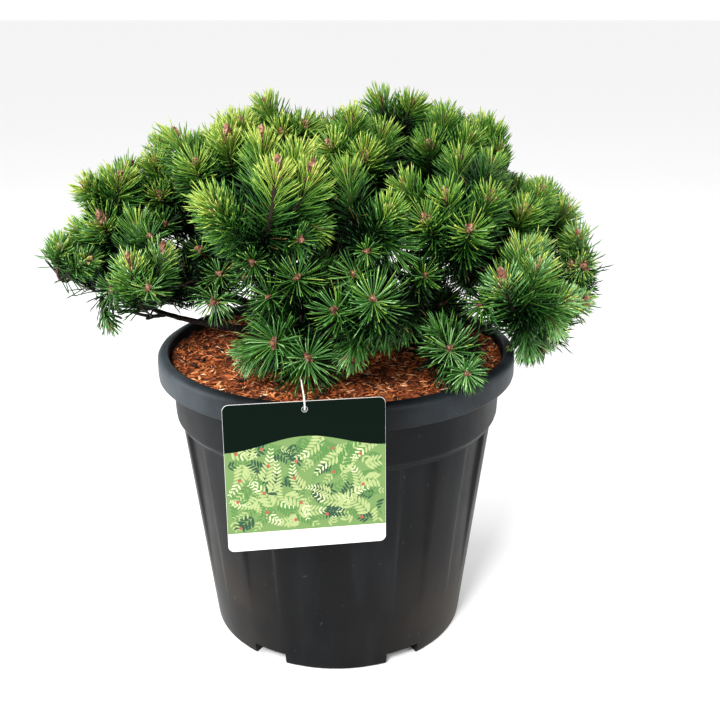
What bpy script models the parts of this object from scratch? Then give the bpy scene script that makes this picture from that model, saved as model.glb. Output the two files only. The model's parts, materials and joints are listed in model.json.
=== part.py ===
# A mugo pine in its round black nursery pot: pot, growing medium, short stem, boughs,
# foliage masses, and a plain printed card on a tie.
# Metres, +Z up. The origin is the centre of the pot's flat underside; the card's side is -Y.

import math
import random

import bmesh
import bpy
from mathutils import Matrix, Vector, noise

# Pot, a standard thirty litre nursery container
POT_HEIGHT = 0.336
RIM_RADIUS = 0.202
RIM_BAND_HEIGHT = 0.027
MOUTH_RADIUS = 0.190
COLLAR_RADIUS = 0.1858
COLLAR_FOOT_Z = 0.262
COLLAR_TAPER = 0.0010
COLLAR_ROUNDING = 0.004
WALL_TOP_RADIUS = 0.1790
BASE_RADIUS = 0.1490
WALL = 0.003
FLOOR = 0.003
TURN_STEPS = 40
NOTCH_COUNT = 6
NOTCH_WIDTH = 0.041
NOTCH_HEIGHT = 0.0135
NOTCH_INNER_RADIUS = 0.118
DRAIN_RADIUS = 0.008
DRAIN_CIRCLE_RADIUS = 0.092
DRAIN_SEGMENTS = 10
RIM_ROUNDING = 0.0045
RIM_CHAMFER = 0.0015
FOOT_ROUNDING = 0.0025
CUTTER_EXCESS = 0.01

# The pot's inside wall: height and how far it stands inside the outer wall there
INSIDE_LIP = (0.314, 0.0005)
INSIDE_COLLAR_TOP = (0.3065, 0.0020)
INSIDE_COLLAR_FOOT = (0.266, 0.0038)
INSIDE_WALL_TOP_Z = 0.256
INSIDE_WALL_FOOT_Z = 0.0095
INSIDE_FOOT_ROUNDING = 0.004

# Growing medium, a bark mulch that stands just under the lip
MEDIUM_CENTRE_Z = 0.330
MEDIUM_EDGE_Z = 0.3245
MEDIUM_FLAT_RADIUS = 0.035
MEDIUM_SLOPE_SHARE = 0.7
FIT_GAP = 0.0006
TOUCH_GAP = 0.0004

# Stem and boughs
STEM_BASE_RADIUS = 0.021
STEM_TOP_RADIUS = 0.0165
STEM_TOP_Z = 0.392
STEM_FLARE = 0.0035
STEM_LEAN = (-0.004, 0.003)
STEM_RESOLUTION = 4
STEM_ROOM_SHARE = 1.2
LIMB_POINTS = 7
LIMB_RESOLUTION = 2
BOUGH_TIP_SHARE = 0.62
UPRIGHT_CIRCLE = 0.0088
UPRIGHT_GAP = 0.0015
ENTRY_SHARE = 0.62
HANDLE_SHARE = 0.36
MASS_GAP = 0.0008
LIMB_ROOM_SHARE = 1.02
POT_CLEARANCE = 0.0015

# Each foliage mass: centre and half sizes in centimetres, named for its place in the crown
MASSES = {
    "top_left": ((-5.3, 3.2, 56.4), (6.4, 8.0, 5.6)),
    "upper_left": ((-12.2, -2.0, 54.4), (6.0, 7.4, 5.6)),
    "left_shoulder": ((-18.2, 3.8, 52.2), (5.0, 6.4, 5.4)),
    "left_outer_shoulder": ((-24.8, 0.5, 49.6), (6.0, 6.4, 5.0)),
    "front_left_high": ((-6.4, -12.4, 51.4), (7.8, 7.8, 7.0)),
    "top_middle": ((2.2, -2.8, 54.4), (6.6, 8.2, 6.2)),
    "top_back": ((6.8, 10.6, 56.2), (6.8, 7.6, 5.6)),
    "top_right": ((10.6, 0.2, 54.8), (6.4, 7.8, 5.8)),
    "right_shoulder": ((16.2, 4.6, 53.2), (5.2, 6.8, 5.6)),
    "right_middle": ((18.0, -3.8, 48.2), (6.0, 7.2, 5.4)),
    "front_right_high": ((11.8, -10.4, 51.2), (7.0, 6.8, 5.4)),
    "front_middle_high": ((3.2, -12.6, 50.2), (5.2, 7.2, 6.0)),
    "right_outer_high": ((23.4, 7.4, 47.2), (5.8, 7.2, 5.6)),
    "right_tip": ((26.4, -0.5, 43.8), (4.2, 7.0, 5.2)),
    "front_right": ((18.6, -10.7, 42.8), (6.0, 7.2, 7.0)),
    "right_low": ((24.0, -4.5, 39.0), (6.2, 7.0, 4.2)),
    "right_under": ((24.0, 4.5, 36.8), (5.6, 6.0, 4.4)),
    "right_hanging": ((23.6, -0.8, 32.6), (2.9, 3.4, 3.2)),
    "left_middle": ((-25.4, 0.5, 46.2), (5.6, 6.2, 4.0)),
    "left_tip": ((-29.0, -1.0, 43.2), (5.4, 7.2, 5.4)),
    "left_low": ((-19.6, -6.0, 43.6), (5.6, 7.2, 5.6)),
    "left_under": ((-20.8, 0.5, 40.2), (6.4, 6.0, 3.8)),
    "left_hanging": ((-26.0, -1.2, 36.0), (2.8, 3.2, 2.8)),
    "left_inner": ((-13.4, -4.8, 42.6), (4.8, 6.2, 6.2)),
    "centre_low": ((-4.2, -11.4, 43.4), (6.0, 6.4, 5.0)),
    "front_centre": ((4.9, -15.0, 42.4), (6.6, 7.0, 6.2)),
    "front_low": ((-4.6, -14.2, 37.2), (9.0, 7.0, 4.0)),
    "front_low_right": ((12.2, -14.6, 37.2), (5.8, 6.6, 4.2)),
    "right_inner": ((11.6, -3.0, 40.6), (5.2, 6.2, 5.0)),
    "back_right_low": ((17.6, 12.8, 41.0), (6.8, 7.2, 6.2)),
    "back_right": ((19.2, 15.8, 49.0), (7.0, 7.2, 5.8)),
    "back_right_high": ((11.8, 17.4, 53.4), (6.8, 7.0, 5.8)),
    "back_middle_high": ((-0.6, 17.6, 54.0), (7.4, 7.2, 6.2)),
    "back_left_high": ((-12.0, 11.4, 54.0), (7.4, 7.4, 6.2)),
    "back_left": ((-19.6, 14.2, 47.6), (7.6, 7.6, 6.4)),
    "back_left_tip": ((-26.8, 8.8, 42.8), (6.6, 7.4, 6.0)),
    "back_left_low": ((-16.6, 17.0, 40.4), (7.4, 7.4, 5.8)),
    "back_middle": ((-5.2, 23.0, 46.4), (8.0, 6.8, 6.4)),
    "back_middle_right": ((8.2, 22.6, 46.2), (7.6, 6.8, 6.4)),
    "back_low": ((1.0, 19.4, 38.8), (9.0, 7.0, 4.8)),
    "crown_heart": ((-1.6, 6.0, 48.2), (8.4, 8.0, 5.0)),
}
MASS_SEGMENTS = 10
MASS_RINGS = 8
LUMP_SCALE = 2.3
LUMP_DEPTH = 0.34
MASS_SEED = 41

# Each bough: the mass it carries, its height on the stem in centimetres (None where it rises
# from the stem's top), its heading there in degrees from +X, its rise, its radius in millimetres,
# and how steeply it comes into the mass
BOUGHS = {
    "bough_left_low": ("left_tip", 34.6, 184, 6, 7.5, 0.75),
    "bough_left": ("left_low", 36.4, 205, 22, 6.5, 0.5),
    "bough_left_back": ("back_left_tip", 35.4, 152, 16, 7.0, 0.5),
    "bough_left_high": ("left_shoulder", 38.0, 172, 42, 6.5, 1.0),
    "bough_front_left": ("front_left_high", 37.6, 238, 48, 7.0, 1.2),
    "bough_front": ("front_centre", 35.6, 282, 24, 6.0, 0.6),
    "bough_front_right": ("front_right_high", 37.9, 310, 46, 6.5, 1.1),
    "bough_right_low": ("front_right", 35.4, 330, 20, 6.5, 0.6),
    "bough_right": ("right_outer_high", 36.0, 12, 28, 7.0, 0.7),
    "bough_top_left": ("top_left", None, 150, 90, 6.0, 2.4),
    "bough_top_right": ("top_right", None, 30, 90, 6.0, 1.7),
    "bough_top_middle": ("top_middle", None, 270, 90, 5.5, 2.6),
    "bough_back_right": ("back_right", 36.6, 52, 36, 7.0, 0.9),
    "bough_back": ("back_middle", 36.2, 100, 30, 7.0, 0.8),
}

# Printed card and its tie
CARD_WIDTH = 0.155
CARD_HEIGHT = 0.150
CARD_THICKNESS = 0.0010
CARD_CORNER = 0.006
CARD_TOP_CENTRE = (-0.0256, -0.2098, 0.3470)
CARD_TURN_DEG = 8.6
CARD_LEAN_DEG = -3.6
EYELET_RADIUS = 0.0022
EYELET_DROP = 0.008
TIE_RADIUS = 0.0007
TIE_STEPS = 5
TIE_START = (-0.0256, -0.2088, 0.3402)
TIE_BEND = (-0.0275, -0.2035, 0.3425)
TIE_END = (-0.0300, -0.1880, 0.3480)


def clear_scene():
    for old in list(bpy.data.objects):
        bpy.data.objects.remove(old, do_unlink=True)


def new_collection(name):
    made = bpy.data.collections.new(name)
    bpy.context.scene.collection.children.link(made)
    return made


def principled(name, colour, roughness, metallic=0.0):
    material = bpy.data.materials.new(name)
    material.use_nodes = True
    shader = material.node_tree.nodes["Principled BSDF"]
    shader.inputs["Base Color"].default_value = (*colour, 1.0)
    shader.inputs["Roughness"].default_value = roughness
    shader.inputs["Metallic"].default_value = metallic
    return material


def mesh_object(name, bm, collection, material=None, smooth=True):
    mesh = bpy.data.meshes.new(name)
    bm.to_mesh(mesh)
    bm.free()
    if smooth:
        mesh.shade_smooth()
        mesh.set_sharp_from_angle(angle=math.radians(35))
    if material:
        mesh.materials.append(material)
    made = bpy.data.objects.new(name, mesh)
    collection.objects.link(made)
    return made


def turned(name, profile, collection, material=None):
    # The profile runs down the outer side, top to bottom, and is turned about Z
    bm = bmesh.new()
    points = [bm.verts.new((radius, 0.0, z)) for radius, z in profile]
    for upper, lower in zip(points, points[1:]):
        bm.edges.new((upper, lower))
    made = mesh_object(name, bm, collection, material, smooth=False)
    screw = made.modifiers.new("Turn", "SCREW")
    screw.steps = TURN_STEPS
    screw.render_steps = TURN_STEPS
    screw.use_merge_vertices = True
    screw.merge_threshold = 0.0001
    screw.use_smooth_shade = True
    return made


def as_cutter(obj):
    obj.hide_render = True
    obj.display_type = "WIRE"
    return obj


def cut(obj, cutter):
    boolean = obj.modifiers.new(cutter.name, "BOOLEAN")
    boolean.operation = "DIFFERENCE"
    boolean.solver = "EXACT"
    boolean.object = cutter


def radial_blocks(name, extra, collection):
    # One block at each notch between the pot's feet, larger all round by extra
    bm = bmesh.new()
    inner = NOTCH_INNER_RADIUS - extra
    outer = RIM_RADIUS
    low = -2 * CUTTER_EXCESS
    high = NOTCH_HEIGHT + extra
    size = Vector((outer - inner, NOTCH_WIDTH + 2 * extra, high - low))
    middle = Vector(((outer + inner) / 2, 0.0, (high + low) / 2))
    for index in range(NOTCH_COUNT):
        turn = Matrix.Rotation(math.tau * index / NOTCH_COUNT, 4, "Z")
        place = turn @ Matrix.Translation(middle) @ Matrix.Diagonal((*size, 1.0))
        bmesh.ops.create_cube(bm, size=1.0, matrix=place)
    return as_cutter(mesh_object(name, bm, collection, smooth=False))


def drain_cutters(collection):
    bm = bmesh.new()
    for index in range(NOTCH_COUNT):
        angle = math.tau * (index + 0.5) / NOTCH_COUNT
        place = Matrix.Translation(
            (DRAIN_CIRCLE_RADIUS * math.cos(angle), DRAIN_CIRCLE_RADIUS * math.sin(angle), 0.0)
        )
        bmesh.ops.create_cone(
            bm,
            cap_ends=True,
            segments=DRAIN_SEGMENTS,
            radius1=DRAIN_RADIUS,
            radius2=DRAIN_RADIUS,
            depth=2 * CUTTER_EXCESS,
            matrix=place,
        )
    return as_cutter(mesh_object("drain_holes", bm, collection, smooth=False))


def cavity_profile(inset, top):
    # The pot's inside from top down to the floor, brought in by inset
    steps = (
        (MOUTH_RADIUS, top),
        (MOUTH_RADIUS - INSIDE_LIP[1], INSIDE_LIP[0]),
        (COLLAR_RADIUS - INSIDE_COLLAR_TOP[1], INSIDE_COLLAR_TOP[0]),
        (COLLAR_RADIUS - INSIDE_COLLAR_FOOT[1], INSIDE_COLLAR_FOOT[0]),
        (WALL_TOP_RADIUS - WALL, INSIDE_WALL_TOP_Z),
        (BASE_RADIUS - WALL, INSIDE_WALL_FOOT_Z),
        (BASE_RADIUS - WALL - INSIDE_FOOT_ROUNDING, FLOOR),
    )
    return [(radius - inset, z + (inset if z == FLOOR else 0.0)) for radius, z in steps]


def make_pot(parts, cutters):
    material = principled("black_plastic", (0.030, 0.033, 0.036), 0.42)
    band_foot = POT_HEIGHT - RIM_BAND_HEIGHT
    profile = [
        (0.0, POT_HEIGHT),
        (RIM_RADIUS - RIM_ROUNDING, POT_HEIGHT),
        (RIM_RADIUS - RIM_ROUNDING * 0.22, POT_HEIGHT - RIM_ROUNDING * 0.36),
        (RIM_RADIUS, POT_HEIGHT - RIM_ROUNDING),
        (RIM_RADIUS, band_foot + RIM_CHAMFER),
        (RIM_RADIUS - RIM_CHAMFER, band_foot),
        (COLLAR_RADIUS + COLLAR_TAPER, band_foot),
        (COLLAR_RADIUS - COLLAR_TAPER, COLLAR_FOOT_Z + COLLAR_ROUNDING),
        (WALL_TOP_RADIUS, COLLAR_FOOT_Z - COLLAR_ROUNDING),
        (BASE_RADIUS, FOOT_ROUNDING),
        (BASE_RADIUS - FOOT_ROUNDING * 0.72, 0.0),
        (0.0, 0.0),
    ]
    pot = turned("pot", profile, parts, material)
    inside = cavity_profile(0.0, POT_HEIGHT + CUTTER_EXCESS)
    cavity = turned("cavity", [(0.0, inside[0][1]), *inside, (0.0, inside[-1][1])], cutters)
    cut(cavity, radial_blocks("notch_roofs", WALL, cutters))
    cut(pot, as_cutter(cavity))
    cut(pot, radial_blocks("notches", 0.0, cutters))
    cut(pot, drain_cutters(cutters))
    return pot


def make_medium(parts, cutters):
    material = principled("bark_mulch", (0.36, 0.16, 0.06), 0.95)
    inside = cavity_profile(FIT_GAP, MEDIUM_EDGE_Z)
    profile = [
        (0.0, MEDIUM_CENTRE_Z),
        (MEDIUM_FLAT_RADIUS, MEDIUM_CENTRE_Z),
        (MOUTH_RADIUS * MEDIUM_SLOPE_SHARE, (MEDIUM_CENTRE_Z * 2 + MEDIUM_EDGE_Z) / 3),
        *inside,
        (0.0, inside[-1][1]),
    ]
    medium = turned("growing_medium", profile, parts, material)
    cut(medium, radial_blocks("medium_notches", WALL + FIT_GAP, cutters))
    return medium


def limb(name, points, radii, parts, material, resolution=LIMB_RESOLUTION):
    # One tapering tube through the points, with flat ends
    data = bpy.data.curves.new(name, "CURVE")
    data.dimensions = "3D"
    data.bevel_depth = 1.0
    data.bevel_resolution = resolution
    data.use_fill_caps = True
    data.materials.append(material)
    spline = data.splines.new("POLY")
    spline.points.add(len(points) - 1)
    for target, point, radius in zip(spline.points, points, radii):
        target.co = (*point, 1.0)
        target.radius = radius
    made = bpy.data.objects.new(name, data)
    parts.objects.link(made)
    return made


def stem_axis(z):
    # Upright over its first and last stretch, so that both ends are cut level
    share = (z - MEDIUM_CENTRE_Z) / (STEM_TOP_Z - MEDIUM_CENTRE_Z)
    margin = 1.1 / (LIMB_POINTS - 1)
    bend = max(0.0, min(1.0, (share - margin) / (1.0 - 2.0 * margin)))
    return Vector((STEM_LEAN[0] * bend, STEM_LEAN[1] * bend, z))


def stem_radius(z):
    share = (z - MEDIUM_CENTRE_Z) / (STEM_TOP_Z - MEDIUM_CENTRE_Z)
    flare = STEM_FLARE * (1.0 - share) ** 4
    return STEM_BASE_RADIUS + (STEM_TOP_RADIUS - STEM_BASE_RADIUS) * share + flare


def make_stem(parts, material):
    low = MEDIUM_CENTRE_Z + TOUCH_GAP
    heights = [low + (STEM_TOP_Z - low) * i / (LIMB_POINTS - 1) for i in range(LIMB_POINTS)]
    points = [stem_axis(z) for z in heights]
    radii = [stem_radius(z) for z in heights]
    return limb("stem", points, radii, parts, material, resolution=STEM_RESOLUTION)


def mass_centre(name):
    return Vector(MASSES[name][0]) / 100.0


def mass_reach(name, direction):
    half = Vector(MASSES[name][1]) / 100.0
    scaled = Vector(d / h for d, h in zip(direction, half))
    return 1.0 / scaled.length


def bezier(a, b, c, d, t):
    s = 1.0 - t
    return a * s**3 + b * 3 * s * s * t + c * 3 * s * t * t + d * t**3


def bough_route(name):
    # Points and radii of a bough from the stem's bark to where it enters its mass
    target, height, heading, rise, radius_mm, steepness = BOUGHS[name]
    radius = radius_mm / 1000.0
    turn = math.radians(heading)
    outward = Vector((math.cos(turn), math.sin(turn), 0.0))
    if height is None:
        start = stem_axis(STEM_TOP_Z) + outward * UPRIGHT_CIRCLE
        start.z += UPRIGHT_GAP
        leave = Vector((0.0, 0.0, 1.0))
    else:
        z = height / 100.0
        lift = math.radians(rise)
        stand_off = stem_radius(z) + radius * math.sin(lift) + 2 * TOUCH_GAP
        start = stem_axis(z) + outward * stand_off
        leave = outward * math.cos(lift) + Vector((0.0, 0.0, math.sin(lift)))
    centre = mass_centre(target)
    level = Vector((centre.x - start.x, centre.y - start.y, 0.0)).normalized()
    arrive = (level + Vector((0.0, 0.0, steepness))).normalized()
    end = centre - arrive * mass_reach(target, arrive) * ENTRY_SHARE
    reach = (end - start).length
    handles = (start, start + leave * reach * HANDLE_SHARE, end - arrive * reach * HANDLE_SHARE, end)
    steps = [i / (LIMB_POINTS - 1) for i in range(LIMB_POINTS)]
    points = [bezier(*handles, t) for t in steps]
    radii = [radius * (1.0 + (BOUGH_TIP_SHARE - 1.0) * t) for t in steps]
    return points, radii


def nearest_on(a, b, point):
    along = b - a
    share = max(0.0, min(1.0, (point - a).dot(along) / along.length_squared))
    return a + along * share


def planes_from_limb(centre, points, radii):
    # For each stretch, a plane with the mass's centre on one side and the whole stretch beyond it
    planes = []
    last = len(points) - 1
    for i in range(last):
        normal = (nearest_on(points[i], points[i + 1], centre) - centre).normalized()
        beyond = []
        for end in (i, i + 1):
            spread = radii[end]
            if end in (0, last):
                axis = (points[i + 1] - points[i]).normalized()
                spread *= math.sqrt(max(0.0, 1.0 - normal.dot(axis) ** 2))
            beyond.append((points[end] - centre).dot(normal) - spread * LIMB_ROOM_SHARE)
        planes.append((normal, min(beyond) - MASS_GAP))
    return planes


def planes_from_masses(name):
    centre = mass_centre(name)
    planes = []
    for other in MASSES:
        if other == name:
            continue
        apart = mass_centre(other) - centre
        distance = apart.length
        normal = apart / distance
        own = mass_reach(name, normal)
        share = own / (own + mass_reach(other, -normal))
        planes.append((normal, distance * share - MASS_GAP / 2))
    return planes


def plane_from_pot(centre):
    # Above the rim or outside it, whichever cuts less
    above = centre.z - POT_HEIGHT - POT_CLEARANCE
    level = Vector((centre.x, centre.y, 0.0))
    outside = level.length - RIM_RADIUS - POT_CLEARANCE
    if above >= outside:
        return Vector((0.0, 0.0, -1.0)), above
    return -level.normalized(), outside


def make_mass(name, index, obstacles, parts, material):
    centre = mass_centre(name)
    planes = planes_from_masses(name)
    for points, radii in obstacles:
        planes.extend(planes_from_limb(centre, points, radii))
    planes.append(plane_from_pot(centre))
    random.seed(MASS_SEED + index)
    drift = Vector([random.uniform(-40.0, 40.0) for _ in range(3)])
    spin = Matrix.Rotation(random.uniform(0.0, math.tau), 3, "Z")
    bm = bmesh.new()
    bmesh.ops.create_uvsphere(bm, u_segments=MASS_SEGMENTS, v_segments=MASS_RINGS, radius=1.0)
    for vertex in bm.verts:
        direction = spin @ vertex.co.normalized()
        dip = LUMP_DEPTH * (0.38 - noise.noise(direction * LUMP_SCALE + drift))
        reach = mass_reach(name, direction) * (1.0 - max(0.0, dip))
        for normal, offset in planes:
            towards = direction.dot(normal)
            if towards > 1e-6:
                reach = min(reach, offset / towards)
        vertex.co = centre + direction * reach
    bmesh.ops.triangulate(bm, faces=bm.faces[:])
    bmesh.ops.recalc_face_normals(bm, faces=bm.faces[:])
    return mesh_object("foliage_" + name, bm, parts, material, smooth=False)


def make_card(parts, cutters):
    # A thin upright card with round corners, an eyelet under the middle of its top edge
    bm = bmesh.new()
    outline = []
    half = CARD_WIDTH / 2 - CARD_CORNER
    corners = ((half, -CARD_CORNER), (-half, -CARD_CORNER))
    corners += ((-half, CARD_CORNER - CARD_HEIGHT), (half, CARD_CORNER - CARD_HEIGHT))
    for quarter, (x, z) in enumerate(corners):
        for step in range(4):
            angle = math.pi / 2 * (quarter + step / 3)
            place = (x + CARD_CORNER * math.cos(angle), 0.0, z + CARD_CORNER * math.sin(angle))
            outline.append(bm.verts.new(place))
    bm.faces.new(outline)
    material = principled("card_plastic", (0.10, 0.22, 0.08), 0.35)
    card = mesh_object("card", bm, parts, material, smooth=False)
    thick = card.modifiers.new("Thickness", "SOLIDIFY")
    thick.thickness = CARD_THICKNESS
    thick.offset = 0.0
    bm = bmesh.new()
    bmesh.ops.create_cone(
        bm,
        cap_ends=True,
        segments=DRAIN_SEGMENTS,
        radius1=EYELET_RADIUS,
        radius2=EYELET_RADIUS,
        depth=CUTTER_EXCESS,
        matrix=Matrix.Translation((0.0, 0.0, -EYELET_DROP)) @ Matrix.Rotation(math.pi / 2, 4, "X"),
    )
    eyelet = as_cutter(mesh_object("eyelet", bm, cutters, smooth=False))
    for piece in (card, eyelet):
        piece.location = CARD_TOP_CENTRE
        piece.rotation_euler = (math.radians(CARD_LEAN_DEG), 0.0, math.radians(CARD_TURN_DEG))
    cut(card, eyelet)
    return card


def tie_route():
    start, bend, end = (Vector(point) for point in (TIE_START, TIE_BEND, TIE_END))
    steps = [i / TIE_STEPS for i in range(TIE_STEPS + 1)]
    points = [start * (1 - t) ** 2 + bend * 2 * t * (1 - t) + end * t * t for t in steps]
    return points, [TIE_RADIUS] * len(points)


def main():
    clear_scene()
    parts = new_collection("mugo_pine")
    cutters = new_collection("cutters")
    make_pot(parts, cutters)
    make_medium(parts, cutters)
    bark = principled("bark", (0.10, 0.065, 0.045), 0.9)
    make_stem(parts, bark)
    routes = {name: bough_route(name) for name in BOUGHS}
    for name, (points, radii) in routes.items():
        limb(name, points, radii, parts, bark)
    make_card(parts, cutters)
    white = principled("white_tie", (0.85, 0.85, 0.83), 0.6)
    limb("card_tie", *tie_route(), parts, white, resolution=1)
    # What the masses are cut round: the boughs, the stem and the tie
    stem_ends = [stem_axis(MEDIUM_CENTRE_Z), stem_axis(STEM_TOP_Z)]
    stem_room = [STEM_BASE_RADIUS * STEM_ROOM_SHARE] * 2
    obstacles = [*routes.values(), (stem_ends, stem_room), tie_route()]
    needles = principled("needles", (0.07, 0.17, 0.035), 0.6)
    for index, name in enumerate(MASSES):
        make_mass(name, index, obstacles, parts, needles)


main()
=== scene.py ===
import json
import math

import bpy
import bmesh
import numpy as np
from mathutils import Matrix, Vector, noise
from mathutils.bvhtree import BVHTree

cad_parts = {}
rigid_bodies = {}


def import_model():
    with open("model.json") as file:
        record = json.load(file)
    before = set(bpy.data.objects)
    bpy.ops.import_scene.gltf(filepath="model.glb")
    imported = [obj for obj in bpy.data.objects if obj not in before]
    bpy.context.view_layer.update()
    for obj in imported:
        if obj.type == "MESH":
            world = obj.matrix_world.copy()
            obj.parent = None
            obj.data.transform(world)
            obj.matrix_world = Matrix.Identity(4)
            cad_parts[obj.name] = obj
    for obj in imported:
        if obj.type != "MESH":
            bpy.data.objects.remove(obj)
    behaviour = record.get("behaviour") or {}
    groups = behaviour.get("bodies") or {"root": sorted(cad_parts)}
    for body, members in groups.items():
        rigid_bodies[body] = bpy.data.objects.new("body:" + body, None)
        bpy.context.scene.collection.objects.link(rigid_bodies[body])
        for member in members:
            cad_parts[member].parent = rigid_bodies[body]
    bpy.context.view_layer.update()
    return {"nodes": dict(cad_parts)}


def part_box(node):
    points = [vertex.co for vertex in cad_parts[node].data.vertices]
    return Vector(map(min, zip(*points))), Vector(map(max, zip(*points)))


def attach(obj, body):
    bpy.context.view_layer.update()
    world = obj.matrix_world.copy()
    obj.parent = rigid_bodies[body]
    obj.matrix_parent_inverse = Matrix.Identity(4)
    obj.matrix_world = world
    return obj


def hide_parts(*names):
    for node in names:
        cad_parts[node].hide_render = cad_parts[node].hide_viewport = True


for startupThing in list(bpy.data.objects):
    bpy.data.objects.remove(startupThing)

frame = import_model()
boxes = {name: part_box(name) for name in frame["nodes"]}
print("frame loaded:", len(boxes), "nodes")


def addObject(name, data):
    made = bpy.data.objects.new(name, data)
    bpy.context.scene.collection.objects.link(made)
    return made


# Camera, fitted to the pot's rim and foot in the photograph

view = {
    "lensMm": 49.1,
    "sensorMm": 36.0,
    "place": (0.0268, -1.0691, 0.6894),
    "downDeg": 19.34,
    "pictureSide": 720,
}

eye = np.array(view["place"])
down = math.radians(view["downDeg"])
sightRight = np.array((1.0, 0.0, 0.0))
sightAhead = np.array((0.0, math.cos(down), -math.sin(down)))
sightUp = np.array((0.0, math.sin(down), math.cos(down)))
pixelsPerUnit = view["lensMm"] / view["sensorMm"] * view["pictureSide"]
middlePixel = view["pictureSide"] / 2


def makeCamera():
    data = bpy.data.cameras.new("photoCamera")
    data.lens = view["lensMm"]
    data.sensor_width = view["sensorMm"]
    camera = addObject("photoCamera", data)
    camera.location = view["place"]
    camera.rotation_euler = (math.radians(90 - view["downDeg"]), 0.0, 0.0)
    bpy.context.scene.camera = camera


def sightThrough(px, py):
    # The direction of sight through a pixel of the photograph
    aside, below = (px - middlePixel) / pixelsPerUnit, (py - middlePixel) / pixelsPerUnit
    sight = sightAhead + sightRight * aside - sightUp * below
    return sight / np.linalg.norm(sight)


def pixelOf(points):
    # Where points in the world fall in the photograph
    offset = np.asarray(points) - eye
    depth = offset @ sightAhead
    x = middlePixel + pixelsPerUnit * (offset @ sightRight) / depth
    y = middlePixel - pixelsPerUnit * (offset @ sightUp) / depth
    return np.stack((x, y), axis=-1)


makeCamera()
print("camera placed")


# Small helpers for materials and meshes


def toLinear(hexCode):
    channels = [int(hexCode[i : i + 2], 16) / 255 for i in (1, 3, 5)]
    linear = [c / 12.92 if c <= 0.04045 else ((c + 0.055) / 1.055) ** 2.4 for c in channels]
    return (*linear, 1.0)


def feed(material, node, inputs):
    # An input is a value, a socket to link from, or a node whose first output is meant
    for name, value in inputs.items():
        value = value.outputs[0] if isinstance(value, bpy.types.Node) else value
        if isinstance(value, bpy.types.NodeSocket):
            material.node_tree.links.new(value, node.inputs[name])
        else:
            node.inputs[name].default_value = value


def feedShader(material, **sockets):
    shader = material.node_tree.nodes["Principled BSDF"]
    feed(material, shader, {socket.replace("_", " "): value for socket, value in sockets.items()})


def newMaterial(name, **sockets):
    material = bpy.data.materials.new(name)
    material.use_nodes = True
    feedShader(material, **sockets)
    return material


def toneMaterials(name, tones, **sockets):
    return [newMaterial(name + str(k), Base_Color=toLinear(tone), **sockets) for k, tone in enumerate(tones)]


def plainMaterials(looks):
    made = []
    for name, (tone, rough) in looks.items():
        made.append(newMaterial(name, Base_Color=toLinear(tone), Roughness=rough))
    return made


def addNode(material, kind, inputs, **settings):
    node = material.node_tree.nodes.new("ShaderNode" + kind)
    for name, value in settings.items():
        setattr(node, name, value)
    feed(material, node, inputs)
    return node


def rampOf(material, factor, stops):
    ramp = addNode(material, "ValToRGB", {"Fac": factor})
    while len(ramp.color_ramp.elements) < len(stops):
        ramp.color_ramp.elements.new(0.5)
    for element, (position, colour) in zip(ramp.color_ramp.elements, stops):
        element.position = position
        element.color = toLinear(colour) if isinstance(colour, str) else (colour, colour, colour, 1.0)
    return ramp


class Heap:
    # Points and triangles gathered until they are made into one mesh
    def __init__(self):
        self.points, self.faces, self.tones, self.count = [], [], [], 0

    def add(self, points, faces, tones=0):
        points = np.asarray(points, np.float32).reshape(-1, 3)
        faces = np.asarray(faces, np.int32).reshape(-1, 3)
        self.points.append(points)
        self.faces.append(faces + self.count)
        self.tones.append(np.broadcast_to(np.asarray(tones, np.int32), (len(faces),)))
        self.count += len(points)

    def build(self, name, materials, smooth=True):
        points, faces = np.concatenate(self.points), np.concatenate(self.faces)
        mesh = bpy.data.meshes.new(name)
        mesh.vertices.add(len(points))
        mesh.vertices.foreach_set("co", points.ravel())
        mesh.loops.add(len(faces) * 3)
        mesh.loops.foreach_set("vertex_index", faces.ravel())
        mesh.polygons.add(len(faces))
        mesh.polygons.foreach_set("loop_start", np.arange(len(faces), dtype=np.int32) * 3)
        for material in materials:
            mesh.materials.append(material)
        mesh.polygons.foreach_set("material_index", np.concatenate(self.tones))
        mesh.polygons.foreach_set("use_smooth", np.full(len(faces), smooth))
        mesh.update(calc_edges=True)
        print(name, "triangles:", len(faces))
        return addObject(name, mesh)


def declare(piece, nodes=()):
    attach(piece, "root")
    if nodes:
        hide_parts(*nodes)


def unit(vectors):
    vectors = np.asarray(vectors, float)
    return vectors / np.maximum(np.linalg.norm(vectors, axis=-1, keepdims=True), 1e-12)


def squareTo(axis, guide):
    # Two directions square to an axis and to each other
    first = unit(np.cross(axis, guide))
    return first, np.cross(axis, first)


def roundOn(angles, first, second):
    # Directions at angles round an axis, from two that are square to it
    angles = np.asarray(angles)[..., None]
    return np.cos(angles) * first + np.sin(angles) * second


def runsAlong(line):
    # The length along a line at each of its points
    return np.concatenate(([0.0], np.cumsum(np.linalg.norm(np.diff(line, axis=0), axis=1))))


def gridFaces(rows, columns):
    # Triangles of a grid of points whose rows run round a tube
    faces = []
    for row in range(rows - 1):
        for column in range(columns):
            a = row * columns + column
            b = row * columns + (column + 1) % columns
            faces += [(a, b, b + columns), (a, b + columns, a + columns)]
    return faces


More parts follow.
